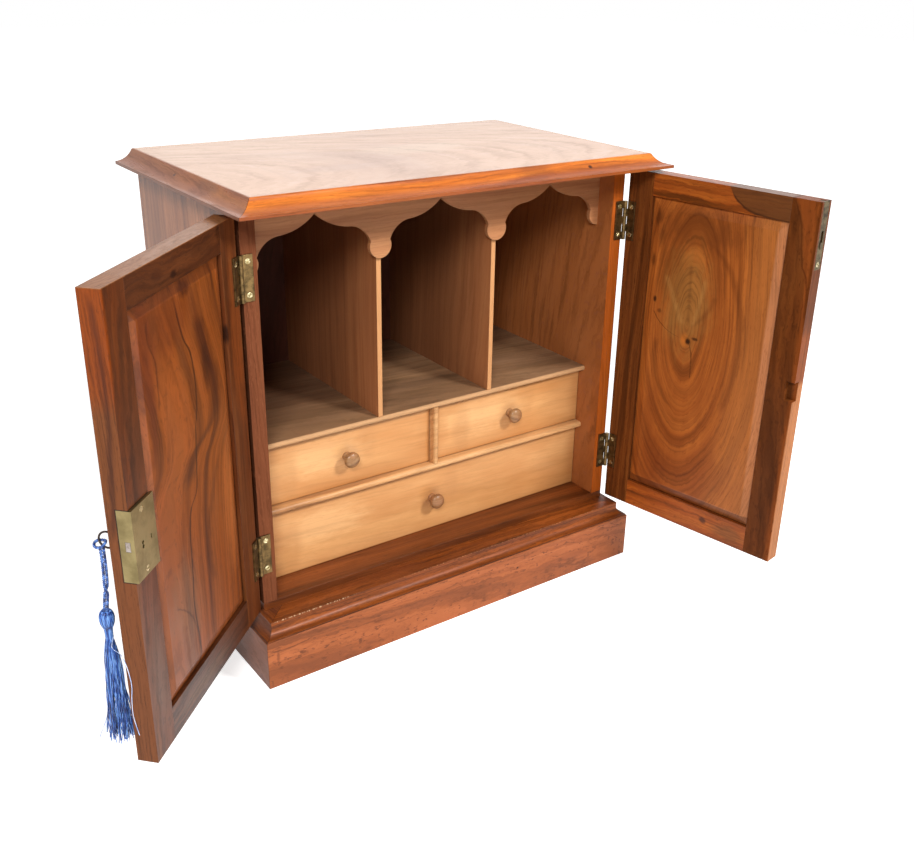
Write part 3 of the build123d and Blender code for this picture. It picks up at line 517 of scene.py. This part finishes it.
dress(walnut("walnut_left_panel", "ZXY", ("#984e20", "#804014", "#52260c"), **LEFT, seed=8.3, ring=7,
             sway=4, fray=1.2, contrast=0.15, grain=heart_line(60, -50, 0.02, flow=broad),
             cloud=("#824a26", 0.4), marks=left_panel_marks), "left_door_panel")

# %% Walnut of the left door's frame
left_stile_marks = [
    spot((314, 27), (9, 3.5), 0.9, "#220f08"), vein([(190, 5), (250, 8), (300, 20)], 2, 0.7, "#30150a"),
    vein([(250, 176), (300, 180), (344, 178), (380, 170)], 5, 0.5, "#3c1f10"),
    spot((130, 175), (60, 14), 0.4, "#5e4636"), spot((300, 12), (90, 12), 0.5, "#8a441a"),
    beyond([(50, DOOR_EDGE), (FAR, DOOR_EDGE)], 0.15, 0.85, "#7e4620", wobble=0.0),
    beyond([(50, 207), (250, 207), (345, 189), (FAR, 189)], 2.0, 0.8, "#90400c", wobble=1.0),
    # painted light: the stiles' top ends are paler, where the light from behind falls on them
    box_distance_mark((-99, -FAR, -99), (DOOR_TOP, FAR, 99), 0.3, -0.2, 0.8, "#a46a3e"),
    vein([(230, -14), (290, -9), (330, -7), (394, -13)], 3.5, 0.65, "#3e1a0c", axis="into"),
    box_distance_mark((203.7, 161.9, -10.0), (254.7, 193.0, 5.0), 0.4, 0.9, 0.9, "#120804")]
dress(walnut("walnut_left_stiles", "ZXY", ("#74421e", "#602f14", "#3a1c0c"), **LEFT, seed=6.3, ring=5,
             contrast=0.3, shine=0.16, cloud=("#704228", 0.35), grain=heart_line(150, -80, 0.03), lines=0.8,
             marks=left_stile_marks), "left_door_hinge_stile", "left_door_closing_stile")
left_rail_marks = [
    spot((102, 379), (6, 3.5), 0.9, "#1c0b05"), spot((56, 386), (22, 7), 0.5, "#3e1f0e"),
    spot((80, 374), (10, 3), 0.6, "#30150a"), spot((124, 384), (12, 6), 0.5, "#38190c"),
    spot((110, 72), (60, 8), 0.4, "#705038"),
    # painted light: the top rail's top face is paler, where the light from behind falls on it
    beyond([(0, DOOR_TOP), (200, DOOR_TOP)], 0.3, 0.8, "#a46a3e", wobble=0.0)]
dress(walnut("walnut_left_rails", "XZY", ("#5c3016", "#44210f", "#281206"), **LEFT, seed=7.3, ring=4,
             sway=12, fray=4, contrast=0.4, cloud=("#63371d", 0.4), marks=left_rail_marks),
      "left_door_top_rail", "left_door_bottom_rail")

# %% [markdown]
# ## The right door
#
# The right panel is cut through a knot, with rings round it like ripples, a pale heart above it and short
# cracks in it. Its rings are measured from the knot instead of from a heart line. Pale sapwood shows on the
# top rail and the closing stile, and the boundary between it and the dark heartwood is a drawn line.

# %% Walnut of the right door
right_panel_marks = [
    spot((286, -74), (66, 34), 0.6, "#a4743a"), spot((306, -56), (44, 24), 0.35, "#6c3d18"),
    beyond([(80, -112), (214, -128), (300, -134), (380, -132)], 14, 0.45, "#c0783c", side=-1),
    spot((352, -80), (26, 60), 0.5, "#5e2e12"), spot((120, -100), (40, 60), 0.4, "#7c3c16"),
    spot((112, -52), (44, 30), 0.35, "#67290f"), spot((165, -62), (70, 34), 0.35, "#7c3a14"),
    vein([(185, -120), (228, -131), (266, -133), (301, -125), (331, -107), (346, -81)], 6, 0.4, "#57270f"),
    vein([(177, -73), (193, -56), (217, -46), (244, -46)], 5, 0.4, "#54260f"),
    vein([(262, -81), (278, -96), (296, -104)], 5, 0.3, "#5c3216"),
    vein([(262, -82), (284, -88), (310, -92)], 4, 0.3, "#c08c4c"),
    vein([(262, -78), (290, -77), (322, -75)], 3, 0.35, "#5e3a1c"),
    vein([(262, -72), (282, -62), (306, -50)], 5, 0.3, "#c08c4c"),
    spot((356, -36), (12, 6), 0.55, "#351709"), spot((339, -42), (14, 5), 0.45, "#3c1c0c"),
    spot((316, -35), (8, 5), 0.5, "#351709"),
    spot((249, -76), (9, 6), 0.8, "#c4702a"), spot((248, -80), (4.5, 4.5), 0.95, "#220c05"),
    vein([(212, -86), (228, -86), (247, -81.5)], 1.0, 0.7, "#2e1206"),
    vein([(249, -77), (251, -64), (257, -51), (269, -40)], 1.2, 0.7, "#2c1207", wobble=2.0),
    spot((252, -87), (2.2, 5), 0.8, "#2e1206"), spot((270, -46), (3, 3), 0.6, "#3c1c0e"),
    spot((280, -40), (4, 2.6), 0.9, "#220e06"),
    # painted light on the panel's bevel on the closing side, and painted shade on its bottom bevel
    box_distance_mark((-99, -155.9, -99), (500, FAR, 99), 0.5, -0.4, 0.4, "#c48258"),
    box_distance_mark((95.3, -FAR, -99), (500, FAR, 99), 0.5, -0.4, 0.6, "#4e2410"), panel_gap_shade(-1)]
dress(walnut("walnut_right_panel", "ZXY", ("#c4702e", "#aa5c24", "#743a14"), **RIGHT, seed=8.9, ring=5,
             sway=6, fray=1.0, contrast=0.12, grain=round_knot((262, -78), 0.30, 0.38),
             cloud=("#84421a", 0.5), marks=right_panel_marks), "right_door_panel")

# %% Walnut of the right door's frame
right_stile_marks = [
    beyond([(236, -187), (300, -186.5), (328, -185), (341, -181.8), (372, -176.5), (396, -166)], 2.0, 0.6,
           "#974c1e", side=-1),
    vein([(290, -191), (328, -187), (341, -181), (372, -175.5), (396, -165)], 1.6, 0.45, "#3c1b0b"),
    beyond([(50, -DOOR_EDGE), (230, -DOOR_EDGE), (300, -199), (FAR, -199)], 0.15, 0.75, "#c07c4a", side=-1,
           wobble=0.0),
    beyond([(50, -207), (220, -207), (300, -189), (FAR, -189)], 1.5, 0.8, "#5c2e10", side=-1, wobble=1.0)]
dress(walnut("walnut_right_stiles", "ZXY", ("#874c20", "#6c3816", "#40200b"), **RIGHT, seed=6.9, ring=5,
             lines=0.7, shine=0.05, contrast=0.3, cloud=("#683c1e", 0.35), grain=heart_line(-150, -80, 0.03),
             marks=right_stile_marks), "right_door_hinge_stile", "right_door_closing_stile")
right_rail_marks = [
    beyond([(-170, 372), (-146, 373), (-127, 376), (-115.4, 382), (-106.6, 393), (-100, 400)], 1.0, 0.8,
           "#5c3a1f"),
    vein([(-170, 373), (-146, 374), (-127, 377), (-115.4, 383), (-106.6, 394)], 1.8, 0.7, "#2e1408"),
    spot((-146, 73), (24, 12), 0.55, "#664423"), spot((-118, 76), (5, 5), 0.8, "#361709")]
dress(walnut("walnut_right_rails", "XZY", ("#bc6624", "#9c4c18", "#60300e"), **RIGHT, seed=7.9, ring=6,
             fray=3, contrast=0.35, cloud=("#9d4e1e", 0.4), marks=right_rail_marks),
      "right_door_top_rail", "right_door_bottom_rail")

# %% [markdown]
# ## The woods inside
#
# Inside, the box is plainer. The partitions and the back are straight-grained cedar, dull and unwaxed. The
# shelf tops are grey-brown. The back, and the partitions and the shelf towards the back, are painted
# darker as shade. The cusped frieze and the drawers are maple, pale gold with a soft mottle, and fingers
# have darkened the drawers round their knobs. Each wood could have its own material. One does for all of
# them, with a low contrast, because they are built up from the same rings, clouds, lines and pores.

# %% Cedar and maple of the inside
# painted shade darkens the partitions towards the back, and further forward higher up; their front edges are
# paler
partition_marks = [beyond([(190, 90), (400, 60)], 55, 0.7, "#54301c", wobble=0.0),
                   beyond([(190, 42.7), (400, 42.7)], 0.15, 0.8, "#ca9462", side=-1, wobble=0.0)]
dress(walnut("cedar_partitions", "ZYX", ("#b87a4c", "#aa6c42", "#8e5632"), seed=9.1, ring=8, contrast=0.05,
             cloud=("#a06844", 0.3), marks=partition_marks, lines=0.25, pores=0.15, gloss=0.55, coat=0.0),
      "partition_left", "partition_right")
# the back's cedar is painted far darker than the partitions', as shade deep in the pigeonholes
dress(walnut("cedar_back_painted_shade", "ZXY", ("#50281a", "#422014", "#30160c"), seed=9.4, ring=8, contrast=0.15,
             cloud=("#6a3c26", 0.3), lines=0.5, pores=0.15, gloss=0.6, coat=0.0), "back_panel")
# painted shade darkens the shelf towards the back, from further forward in the left pigeonhole, and painted
# light makes its front nose paler
shelf_marks = [beyond([(-190, 80), (-62, 100), (-55, 165), (190, 165)], 50, 0.75, "#44281a", wobble=0.0),
               beyond([(-190, 43.4), (190, 43.4)], 0.4, 0.8, "#c89a6c", side=-1, wobble=0.0)]
dress(walnut("grey_cedar_shelf", "XYZ", ("#a47e5c", "#8e6a4a", "#684c34"), seed=9.7, ring=9, contrast=0.12,
             cloud=("#86644a", 0.5), marks=shelf_marks, lines=0.35, pores=0.2, gloss=0.6, coat=0.0), "shelf")
dress(walnut("maple_nosings", "XZY", ("#e2b27e", "#d29e68", "#a8744a"), seed=9.9, ring=8, contrast=0.15,
             cloud=("#94643c", 0.4), lines=0.4, pores=0.3, gloss=0.45, coat=0.1), "drawer_rail",
      "drawer_divider")
dress(walnut("maple_frieze", "XZY", ("#bc8458", "#ac744c", "#8e5836"), seed=10.7, ring=10, contrast=0.1,
             cloud=("#a0724a", 0.4), lines=0.4, pores=0.3, gloss=0.5, coat=0.05), "arched_frieze")

# %% Maple drawers and their knobs
for drawer, x, z, low, high in (("left", -90, 164, (-177, 137), (-3, 192)),
                                ("right", 90, 164, (3, 137), (177, 192)),
                                ("long", 0, 97, (-177, 65.5), (177, 130))):
    # finger marks round the knob, a painted highlight up and to the left of it, darker towards the edges,
    # painted shade of the gap at them, and stains
    drawer_marks = [
        spot((x, z + 2), (17, 13), 0.45, "#96603a"), spot((low[0] + 60, z + 8), (60, 26), 0.3, "#f6c890"),
        box_distance_mark((*low, -99), (*high, 199), 0.0, -16.0, 0.4, "#a86c38"),
        box_distance_mark((*low, -99), (*high, 199), 0.0, -1.2, 0.6, "#8a5630"),
        spot((low[0] + 30, z - 6), (14, 34), 0.35, "#ac7644"),
        spot((x + 22, z + 10), (12, 30), 0.3, "#b47e4c")]
    dress(walnut(f"maple_{drawer}_drawer", "XZY", ("#dca66e", "#ce965e", "#b67c46"), seed=11.7 + x, ring=22,
                 sway=4, contrast=0.05, cloud=("#bc7c44", 0.5), marks=drawer_marks, lines=0.2, pores=0.2,
                 gloss=0.42, coat=0.12), f"{drawer}_drawer_front", f"{drawer}_drawer_box")
dress(walnut("turned_beech_knobs", "YXZ", ("#a88058", "#946c46", "#724f33"), seed=12.7, ring=2.2, sway=1,
             contrast=0.3, lines=0.4, pores=0.4, gloss=0.32, coat=0.2),
      *(f"{drawer}_drawer_knob" for drawer in ("left", "right", "long")))

# %% [markdown]
# ## Brass and iron
#
# Cast and rolled brass is bright where it is handled and dull and greenish where it isn't. A metal's colour
# is its reflection, so the stains change both the tint and the roughness. The tarnish could be two
# materials with a mask. One is enough here, because the same noise serves as the mask for both. The key is
# dark steel, and the bolt's end is bare steel.

# %% Brass and steel
SCRATCHES = (2600.0, 2600.0, 240.0)  # to the metre: they are 0.4 mm apart and 4 mm long


def old_metal(name, bright, dull, rough, stain_mm=5.0):
    """Cast or rolled metal with cloudy tarnish and fine scratches."""
    material, tree = new_material(name)
    place = add(tree, "TexCoord").outputs["Object"]
    stain = add(tree, "TexNoise", {"Vector": place, "Scale": 1000 / stain_mm, "Detail": 4.0,
                                   "Roughness": 0.6})
    colour = ramp(add(tree, "ValToRGB", {0: stain}), [(0.36, dull), (0.62, bright)])
    drawn = add(tree, "VectorMath", {0: place, 1: SCRATCHES}, "MULTIPLY")
    scratches = add(tree, "TexNoise", {"Vector": drawn, "Scale": 1.0, "Detail": 2.0, "Roughness": 0.6})
    both = add(tree, "Math", {0: scratches, 1: 0.35, 2: stain}, "MULTIPLY_ADD")
    rough = add(tree, "MapRange", {0: both, 1: 0.4, 2: 0.9, 3: rough + 0.1, 4: rough - 0.08})
    rounded = add(tree, "Bevel", {"Radius": 0.00035}, samples=4)
    relief = add(tree, "Bump", {"Strength": 0.25, "Distance": 0.00004, "Height": both, "Normal": rounded})
    shader = add(tree, "BsdfPrincipled", {"Base Color": colour, "Metallic": 1.0, "Roughness": rough,
                                          "Normal": relief})
    add(tree, "OutputMaterial", {"Surface": shader})
    return material


dress(old_metal("dull_brass_hinges", "#7c6440", "#4c3e28", 0.4),
      *(f"{side}_hinge_{part}" for side in ("left", "right")
        for part in ("jamb_leaves", "door_leaves", "pins")))
dress(old_metal("bright_brass_screws", "#dccfa4", "#8c7c54", 0.28, stain_mm=3.0), "left_hinge_door_screws",
      "right_hinge_door_screws", "hinge_jamb_screws", "lock_screws", "flush_bolt_screw")
dress(old_metal("dull_brass_lock", "#8e7f58", "#776947", 0.42, stain_mm=14.0), "lock_case", "lock_cap",
      "key_escutcheon")
dress(old_metal("tarnished_brass_flush_bolt", "#6c5c3c", "#3a2e1e", 0.45), "flush_bolt_plate",
      "flush_bolt_slide")
dress(old_metal("bare_steel_bolt", "#b4aaa4", "#8c8078", 0.42), "lock_bolt")
dress(old_metal("dark_steel_key", "#584c46", "#2e2826", 0.35, stain_mm=2.0), "key")

# %% [markdown]
# ## The tassel
#
# The tassel is bright blue rayon. A cord is doubled through a ring on the key's bow, its two halves cross
# once on the way down, and each half is a rope of three strands. The head is a wooden bead with threads
# laid over it, bound under the bead, and the same threads hang on as the skirt. Rayon is smoother and
# shinier than cotton, so each thread has its own highlight. Hair strands with a hair shader could draw
# that. A plain glossy finish is enough here, because the threads are real tubes, and its tone changes over
# each thread's width.

# %% Rayon thread
def rayon(name, light, mid, dark, thread_mm, run_mm=22.0):
    """Shiny thread whose tone changes from one thread to the next and a little along each."""
    material, tree = new_material(name)
    place = add(tree, "TexCoord").outputs["Object"]
    thin = add(tree, "VectorMath", {0: place, 1: (1000 / thread_mm, 1000 / thread_mm, 1000 / run_mm)},
               "MULTIPLY")
    tone = add(tree, "TexNoise", {"Vector": thin, "Scale": 0.6, "Detail": 2.0, "Roughness": 0.6})
    colour = ramp(add(tree, "ValToRGB", {0: tone}), [(0.38, dark), (0.5, mid), (0.62, light)])
    shader = add(tree, "BsdfPrincipled", {"Base Color": colour, "Roughness": 0.36,
                                          "Specular IOR Level": 0.55, "Sheen Weight": 0.25,
                                          "Sheen Roughness": 0.4})
    add(tree, "OutputMaterial", {"Surface": shader})
    return material


cord_rayon = rayon("blue_rayon_cord", "#76a2ec", "#244e9e", "#081c54", 1.3, 1.5)
skirt_rayon = rayon("blue_rayon_skirt", "#8cbeff", "#225cba", "#061e5e", 0.7)
pale_rayon = rayon("faded_blue_rayon", "#dfe8fb", "#b9cdf4", "#7f9ede", 0.7)
print("three thread finishes")

# %% [markdown]
# ## Threads and ropes
#
# A thread is a line with a thickness. It could be a long thin cylinder that is bent. It is a NURBS curve
# instead, because a curve stays smooth through a few points, and its bevel gives it a round section before
# it is turned into a mesh. A rope is three such threads that wind round one guide line.

# %% Lines and threads
TASSEL_ACROSS, TASSEL_OUT = 180.3, 15.27
DOOR_BACK = 17.0  # millimetres from the hinge line to the door's outer face


def at_door(across, out, height):
    """A point by millimetres from the left door's hinge, out from its outer face, and above the floor."""
    level = Matrix.Rotation(LEFT["turned"], 3, "Z") @ Vector((across, -DOOR_BACK - out, 0))
    return Vector(LEFT["hinge"]) + (level + Vector((0, 0, height))) / 1000


def line_object(name, lines, closed=False, detail=3):
    """A curve object with one smooth spline for each list of points."""
    data = bpy.data.curves.new(name, "CURVE")
    data.dimensions = "3D"
    for points in lines:
        spline = data.splines.new("NURBS")
        spline.points.add(len(points) - 1)
        for control, place in zip(spline.points, points):
            control.co = (*place, 1)
        spline.order_u = 3
        spline.use_cyclic_u = closed
        spline.use_endpoint_u = not closed
        spline.resolution_u = detail
    piece = bpy.data.objects.new(name, data)
    bpy.context.collection.objects.link(piece)
    return piece


def thread_mesh(piece, thick_mm, roundness=0):
    """Give a curve object's lines a round section and make it a mesh."""
    piece.data.bevel_depth = thick_mm / 2000
    piece.data.bevel_resolution = roundness
    piece.data.use_fill_caps = True
    bpy.ops.object.select_all(action="DESELECT")
    piece.select_set(True)
    bpy.context.view_layer.objects.active = piece
    bpy.ops.object.convert(target="MESH")
    bpy.ops.object.mode_set(mode="EDIT")
    bpy.ops.mesh.select_all(action="SELECT")
    bpy.ops.mesh.normals_make_consistent(inside=False)
    bpy.ops.object.mode_set(mode="OBJECT")
    bpy.ops.object.shade_smooth()
    return piece


towards = (at_door(1, 0, 0) - at_door(0, 0, 0)).normalized()
tassel_axis = at_door(TASSEL_ACROSS, TASSEL_OUT, 0)
print("tassel hangs at", tuple(round(v, 4) for v in tassel_axis[:2]))

# %% Ropes
def points_along(controls, closed=False, detail=24):
    """Points read from the smooth line through the controls."""
    guide = line_object("guide", [controls], closed=closed, detail=detail)
    bpy.context.view_layer.update()
    shape = bpy.data.meshes.new_from_object(guide)
    points = [v.co.copy() for v in shape.vertices]
    bpy.data.objects.remove(guide)
    bpy.data.meshes.remove(shape)
    return points


def twist_round(points, radius_mm, turns, start, closed=False):
    """A line that winds round another at a radius, in so many turns."""
    wound = []
    last = len(points) - 1
    for i, point in enumerate(points):
        before = points[i - 1] if i or closed else point
        after = points[(i + 1) % len(points)] if i < last or closed else point
        ahead = (after - before).normalized()
        side = ahead.cross(towards).normalized()
        angle = 2 * math.pi * (start + turns * i / (len(points) if closed else last))
        outward = side * math.cos(angle) + ahead.cross(side) * math.sin(angle)
        wound.append(point + outward * radius_mm / 1000)
    return wound


print("a rope is three lines, each a third of a turn on")

# %% [markdown]
# ## The ring on the key's bow
#
# The cord's top end is a ring that passes through the bow of the key, so it turns with the key. A torus
# would be quicker, but it would lie flat. This ring sags where it hangs on the bow, so its guide line goes
# through eight points round the bow's wire.

# %% The ring on the key's bow
ring_controls = [at_door(TASSEL_ACROSS + toward, out, height) for toward, out, height in (
    (0.0, 8.7, 224.6), (2.4, 9.8, 222.6), (3.4, 12.4, 221.6), (2.6, 15.6, 222.0), (0.0, 16.9, 223.2),
    (-2.6, 15.6, 223.9), (-3.2, 12.6, 224.0), (-2.2, 9.8, 224.6))]
ring_line = points_along(ring_controls, closed=True, detail=12)
ring_strands = [twist_round(ring_line, 0.5, 5, k / 3, closed=True) for k in range(3)]
ring = thread_mesh(line_object("tassel_ring", ring_strands, closed=True, detail=1), 1.15, 1)
dress(cord_rayon, ring)
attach(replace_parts(ring, "tassel_loop"), "key")
print("ring of", len(ring.data.polygons), "faces")

# %% [markdown]
# ## The doubled cord
#
# Both halves of the cord hang side by side from the ring to the head and cross once, a little over half-way
# down. Two separate curves could be drawn. One guide line and an offset that turns half round are simpler,
# and the halves can't part.

# %% The doubled cord
HALF_APART = 1.0  # millimetres from the middle of the cord to the middle of each half

cord_controls = [at_door(TASSEL_ACROSS, out, height) for out, height in (
    (12.1, 221.0), (11.9, 211.0), (12.3, 200.0), (13.0, 188.0), (14.4, 179.5), (15.2, 173.1))]
cord_line = points_along(cord_controls)
strands = []
for k in range(2):
    half = []
    for i, point in enumerate(cord_line):
        # side by side at first, then half a turn in the next third of the way
        share = i / (len(cord_line) - 1)
        step = min(1.0, max(0.0, (share - 0.42) / 0.34))
        angle = math.pi * (k + step * step * (3 - 2 * step))
        toward, out = 0.3 * math.cos(angle) + 0.9 * math.sin(angle), 0.9 * math.cos(angle)
        apart = (at_door(toward, out, 0) - at_door(0, 0, 0)).normalized()
        half.append(point + apart * HALF_APART / 1000)
    strands += [twist_round(half, 0.6, 10, k / 6 + n / 3) for n in range(3)]
cord = thread_mesh(line_object("tassel_doubled_cord", strands, detail=1), 0.92, 1)
dress(cord_rayon, cord)
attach(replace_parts(cord, "tassel_cord"), "left_door")
print("cord of", len(cord.data.polygons), "faces")

# %% [markdown]
# ## The head
#
# Forty threads are laid over a turned bead from its crown to the neck and bound there with seventeen turns
# of another. The bead could carry painted lines. Real threads are used, because the highlight that runs
# down each one is what shows that the bead is covered. The bead itself is a stretched sphere that fills the
# gaps.

# %% Threads laid over the bead
LAID_THREADS = 40
BINDING_TURNS = 17
head_profile = ((0.9, 172.2), (1.9, 173.0), (3.4, 172.2), (4.55, 169.6), (4.75, 166.6), (4.4, 163.4),
                (3.3, 160.6), (2.35, 158.6), (2.3, 151.0))


def round_axis(angle, radius_mm, height):
    """A point round the tassel's axis."""
    return tassel_axis + Vector((radius_mm * math.cos(angle), radius_mm * math.sin(angle), height)) / 1000


rng = random.Random(4)
laid = []
for k in range(LAID_THREADS):
    angle = 2 * math.pi * (k + rng.uniform(-0.2, 0.2)) / LAID_THREADS
    laid.append([round_axis(angle + 0.05 * n, r, z) for n, (r, z) in enumerate(head_profile)])
head = thread_mesh(line_object("tassel_bound_head", laid), 0.72)
binding = [round_axis(2 * math.pi * n / 10, 2.55 + 0.1 * math.sin(n * 0.9), 159.4 - 0.045 * n)
           for n in range(10 * BINDING_TURNS)]
binding = thread_mesh(line_object("tassel_binding", [binding], detail=1), 0.62)
print("threads over the bead:", len(laid))

# %% The bead, joined with its threads
bpy.ops.object.select_all(action="DESELECT")
bpy.ops.mesh.primitive_uv_sphere_add(segments=24, ring_count=14, radius=0.0046, location=(0, 0, 0))
bead = bpy.context.active_object
bpy.ops.object.mode_set(mode="EDIT")
bpy.ops.transform.resize(value=(1, 1, 1.36))
bpy.ops.transform.translate(value=round_axis(0, 0, 166.4))
bpy.ops.object.mode_set(mode="OBJECT")
bpy.ops.object.shade_smooth()
bpy.ops.object.select_all(action="DESELECT")
for piece in (head, binding, bead):
    piece.select_set(True)
bpy.context.view_layer.objects.active = head
bpy.ops.object.join()
dress(skirt_rayon, head)
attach(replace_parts(head, "tassel_head"), "left_door")
print("head of", len(head.data.polygons), "faces")

# %% [markdown]
# ## The skirt
#
# The skirt is the tail of the same threads. It leaves the neck as a tight bundle, opens like a bell and
# ends unevenly, and two threads have come loose and faded. A simulation could drop the threads. They are
# drawn along smooth lines with a seeded unevenness instead, because a tassel that has hung for years keeps
# its kinks.

# %% The skirt's threads
SKIRT_THREADS = 170
NECK_Z, NECK_RADIUS, SKIRT_DROP = 152, 2.2, 81.7
STEPS = 12


def hanging_thread(angle, share, foot_z):
    """One thread of the skirt, from the neck down to its end, with its own kinks."""
    swell, sway = rng.uniform(0.3, 1.05), rng.uniform(0, 2 * math.pi)
    reach = rng.uniform(8, 15)
    start_z = rng.uniform(151.5, 153.5)
    points = [round_axis(angle, NECK_RADIUS * share, start_z)]
    for n in range(1, STEPS + 1):
        z = start_z + (foot_z - start_z) * n / STEPS
        fall = min(1.0, (NECK_Z - z) / SKIRT_DROP)
        # the bell opens fast under the neck, and a little more at its foot
        bell = NECK_RADIUS + 6.3 * fall ** 0.55 + 1.4 * fall ** 3
        kink = swell * (0.4 + 1.5 * fall * fall) / 1000
        place = round_axis(angle + 0.25 * math.sin(z / 23 + sway), bell * share, z)
        bent = Vector((math.sin(z / reach * 2 + sway), math.cos(z / reach * 1.7 + sway), 0))
        points.append(place + bent * kink)
    return points


threads = []
for _ in range(SKIRT_THREADS):
    share = math.sqrt(rng.uniform(0.12, 1.0))
    angle = rng.uniform(0, 2 * math.pi)
    threads.append(hanging_thread(angle, share, rng.uniform(70.6, 77.0)))
skirt = thread_mesh(line_object("tassel_skirt_threads", threads, detail=2), 0.62)
dress(skirt_rayon, skirt)
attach(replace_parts(skirt, "tassel_skirt"), "left_door")
print("skirt of", len(threads), "threads and", len(skirt.data.polygons), "faces")

# %% Two loose threads
front_thread = [(184.0, 10.0, 155.5), (186.0, 11.2, 150.2), (187.5, 9.6, 147.8), (189.5, 4.0, 147.5),
                (191.2, 0.8, 144.8), (191.4, -1.5, 137.4), (191.4, -2.9, 127.0), (191.4, -2.8, 120.5),
                (191.4, -1.8, 114.7), (191.4, -1.0, 102.3), (191.4, -1.4, 95.4), (191.4, -3.9, 83.3)]
side_thread = [(181.5, 20.0, 108.0), (182.0, 22.6, 94.0), (182.0, 24.8, 84.5), (182.0, 29.2, 74.6),
               (182.0, 32.2, 67.0)]
loose = [[at_door(*point) for point in line] for line in (front_thread, side_thread)]
loose = thread_mesh(line_object("tassel_loose_threads", loose, detail=6), 0.55, 1)
dress(pale_rayon, loose)
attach(loose, "left_door")
tuple(cord_line[0])
[tuple(point) for point in cord_line]
print("loose threads of", len(loose.data.polygons), "faces")

# %% [markdown]
# ## The room
#
# The box stands on a white paper sweep in soft light. Two front lamps, a third and a half of a metre wide,
# throw the frieze's shadow into the pigeonholes with a soft edge: much larger ones would wash it out, and a
# point would cut it hard. A broad one stands low behind the box, and its light slides over the top board
# and the tops of the doors and pales them. The paper could be lit until it is white, but the box would then
# be too bright. It glows instead for the rays that look at it, straight or by reflection, and not for those
# that carry light, so the shadow at the plinth's foot stays.

# %% The paper and the surround
def looking_rays(tree):
    """1 for rays that look at a thing, straight, by reflection or through glass, and 0 for the others."""
    rays = add(tree, "LightPath")
    seen = add(tree, "Math", {0: rays.outputs["Is Camera Ray"], 1: rays.outputs["Is Glossy Ray"]},
               "MAXIMUM")
    return add(tree, "Math", {0: seen, 1: rays.outputs["Is Transmission Ray"]}, "MAXIMUM")


bpy.ops.object.select_all(action="DESELECT")
bpy.ops.mesh.primitive_plane_add(size=16, location=(0, 0, 0))
floor = bpy.context.active_object
floor.name = "floor"
floor_paper, tree = new_material("white_paper_floor")
place = add(tree, "TexCoord").outputs["Object"]
mottle = add(tree, "TexNoise", {"Vector": place, "Scale": 3.0})
shade = ramp(add(tree, "ValToRGB", {0: mottle}), [(0.0, "#f4f3f1"), (1.0, "#f8f7f6")])
paper = add(tree, "BsdfPrincipled", {"Base Color": shade, "Roughness": 0.9, "Specular IOR Level": 0.0})
far = add(tree, "VectorMath", {0: place}, "LENGTH")
far = add(tree, "MapRange", {0: far.outputs["Value"], 1: 0.5, 2: 2.0, 3: 0.72, 4: 1.0})
glow = add(tree, "Emission", {"Color": (1, 1, 1, 1), "Strength": far})
glow = add(tree, "MixShader", {0: looking_rays(tree), 2: glow})
add(tree, "OutputMaterial", {"Surface": add(tree, "AddShader", {0: paper, 1: glow})})
floor.data.materials.append(floor_paper)

world = bpy.data.worlds.new("surround")
bpy.context.scene.world = world
world.use_nodes = True
tree = world.node_tree
tree.nodes.clear()
air = add(tree, "Background", {"Color": linear("#fffaf4"), "Strength": 0.06})
white = add(tree, "Background", {"Color": (1, 1, 1, 1), "Strength": 1.0})
add(tree, "OutputWorld", {"Surface": add(tree, "MixShader", {0: looking_rays(tree), 1: air, 2: white})})
print("floor", floor.dimensions.x, "m wide")

# %% Lamps
def soft_lamp(name, place, target, size, watts):
    """A rectangular white area lamp that points at a target."""
    lamp = bpy.data.objects.new(name, bpy.data.lights.new(name, "AREA"))
    bpy.context.collection.objects.link(lamp)
    lamp.data.shape = "RECTANGLE"
    lamp.data.size, lamp.data.size_y = size
    lamp.data.energy = watts
    aim = Vector(target) - Vector(place)
    lamp.matrix_world = Matrix.Translation(place) @ aim.to_track_quat("-Z", "Y").to_matrix().to_4x4()
    print(name, watts, "W at", place)


soft_lamp("front_right_lamp", (0.7, -1.5, 1.5), (0, 0.05, 0.2), (0.32, 0.32), 36)
soft_lamp("front_left_lamp", (-1.1, -1.4, 1.35), (0, 0.05, 0.25), (0.45, 0.45), 34)
soft_lamp("back_lamp", (1.6, 2.2, 1.5), (0, 0.1, 0.4), (2.4, 1.4), 11)
bpy.context.scene.view_settings.view_transform = "Standard"
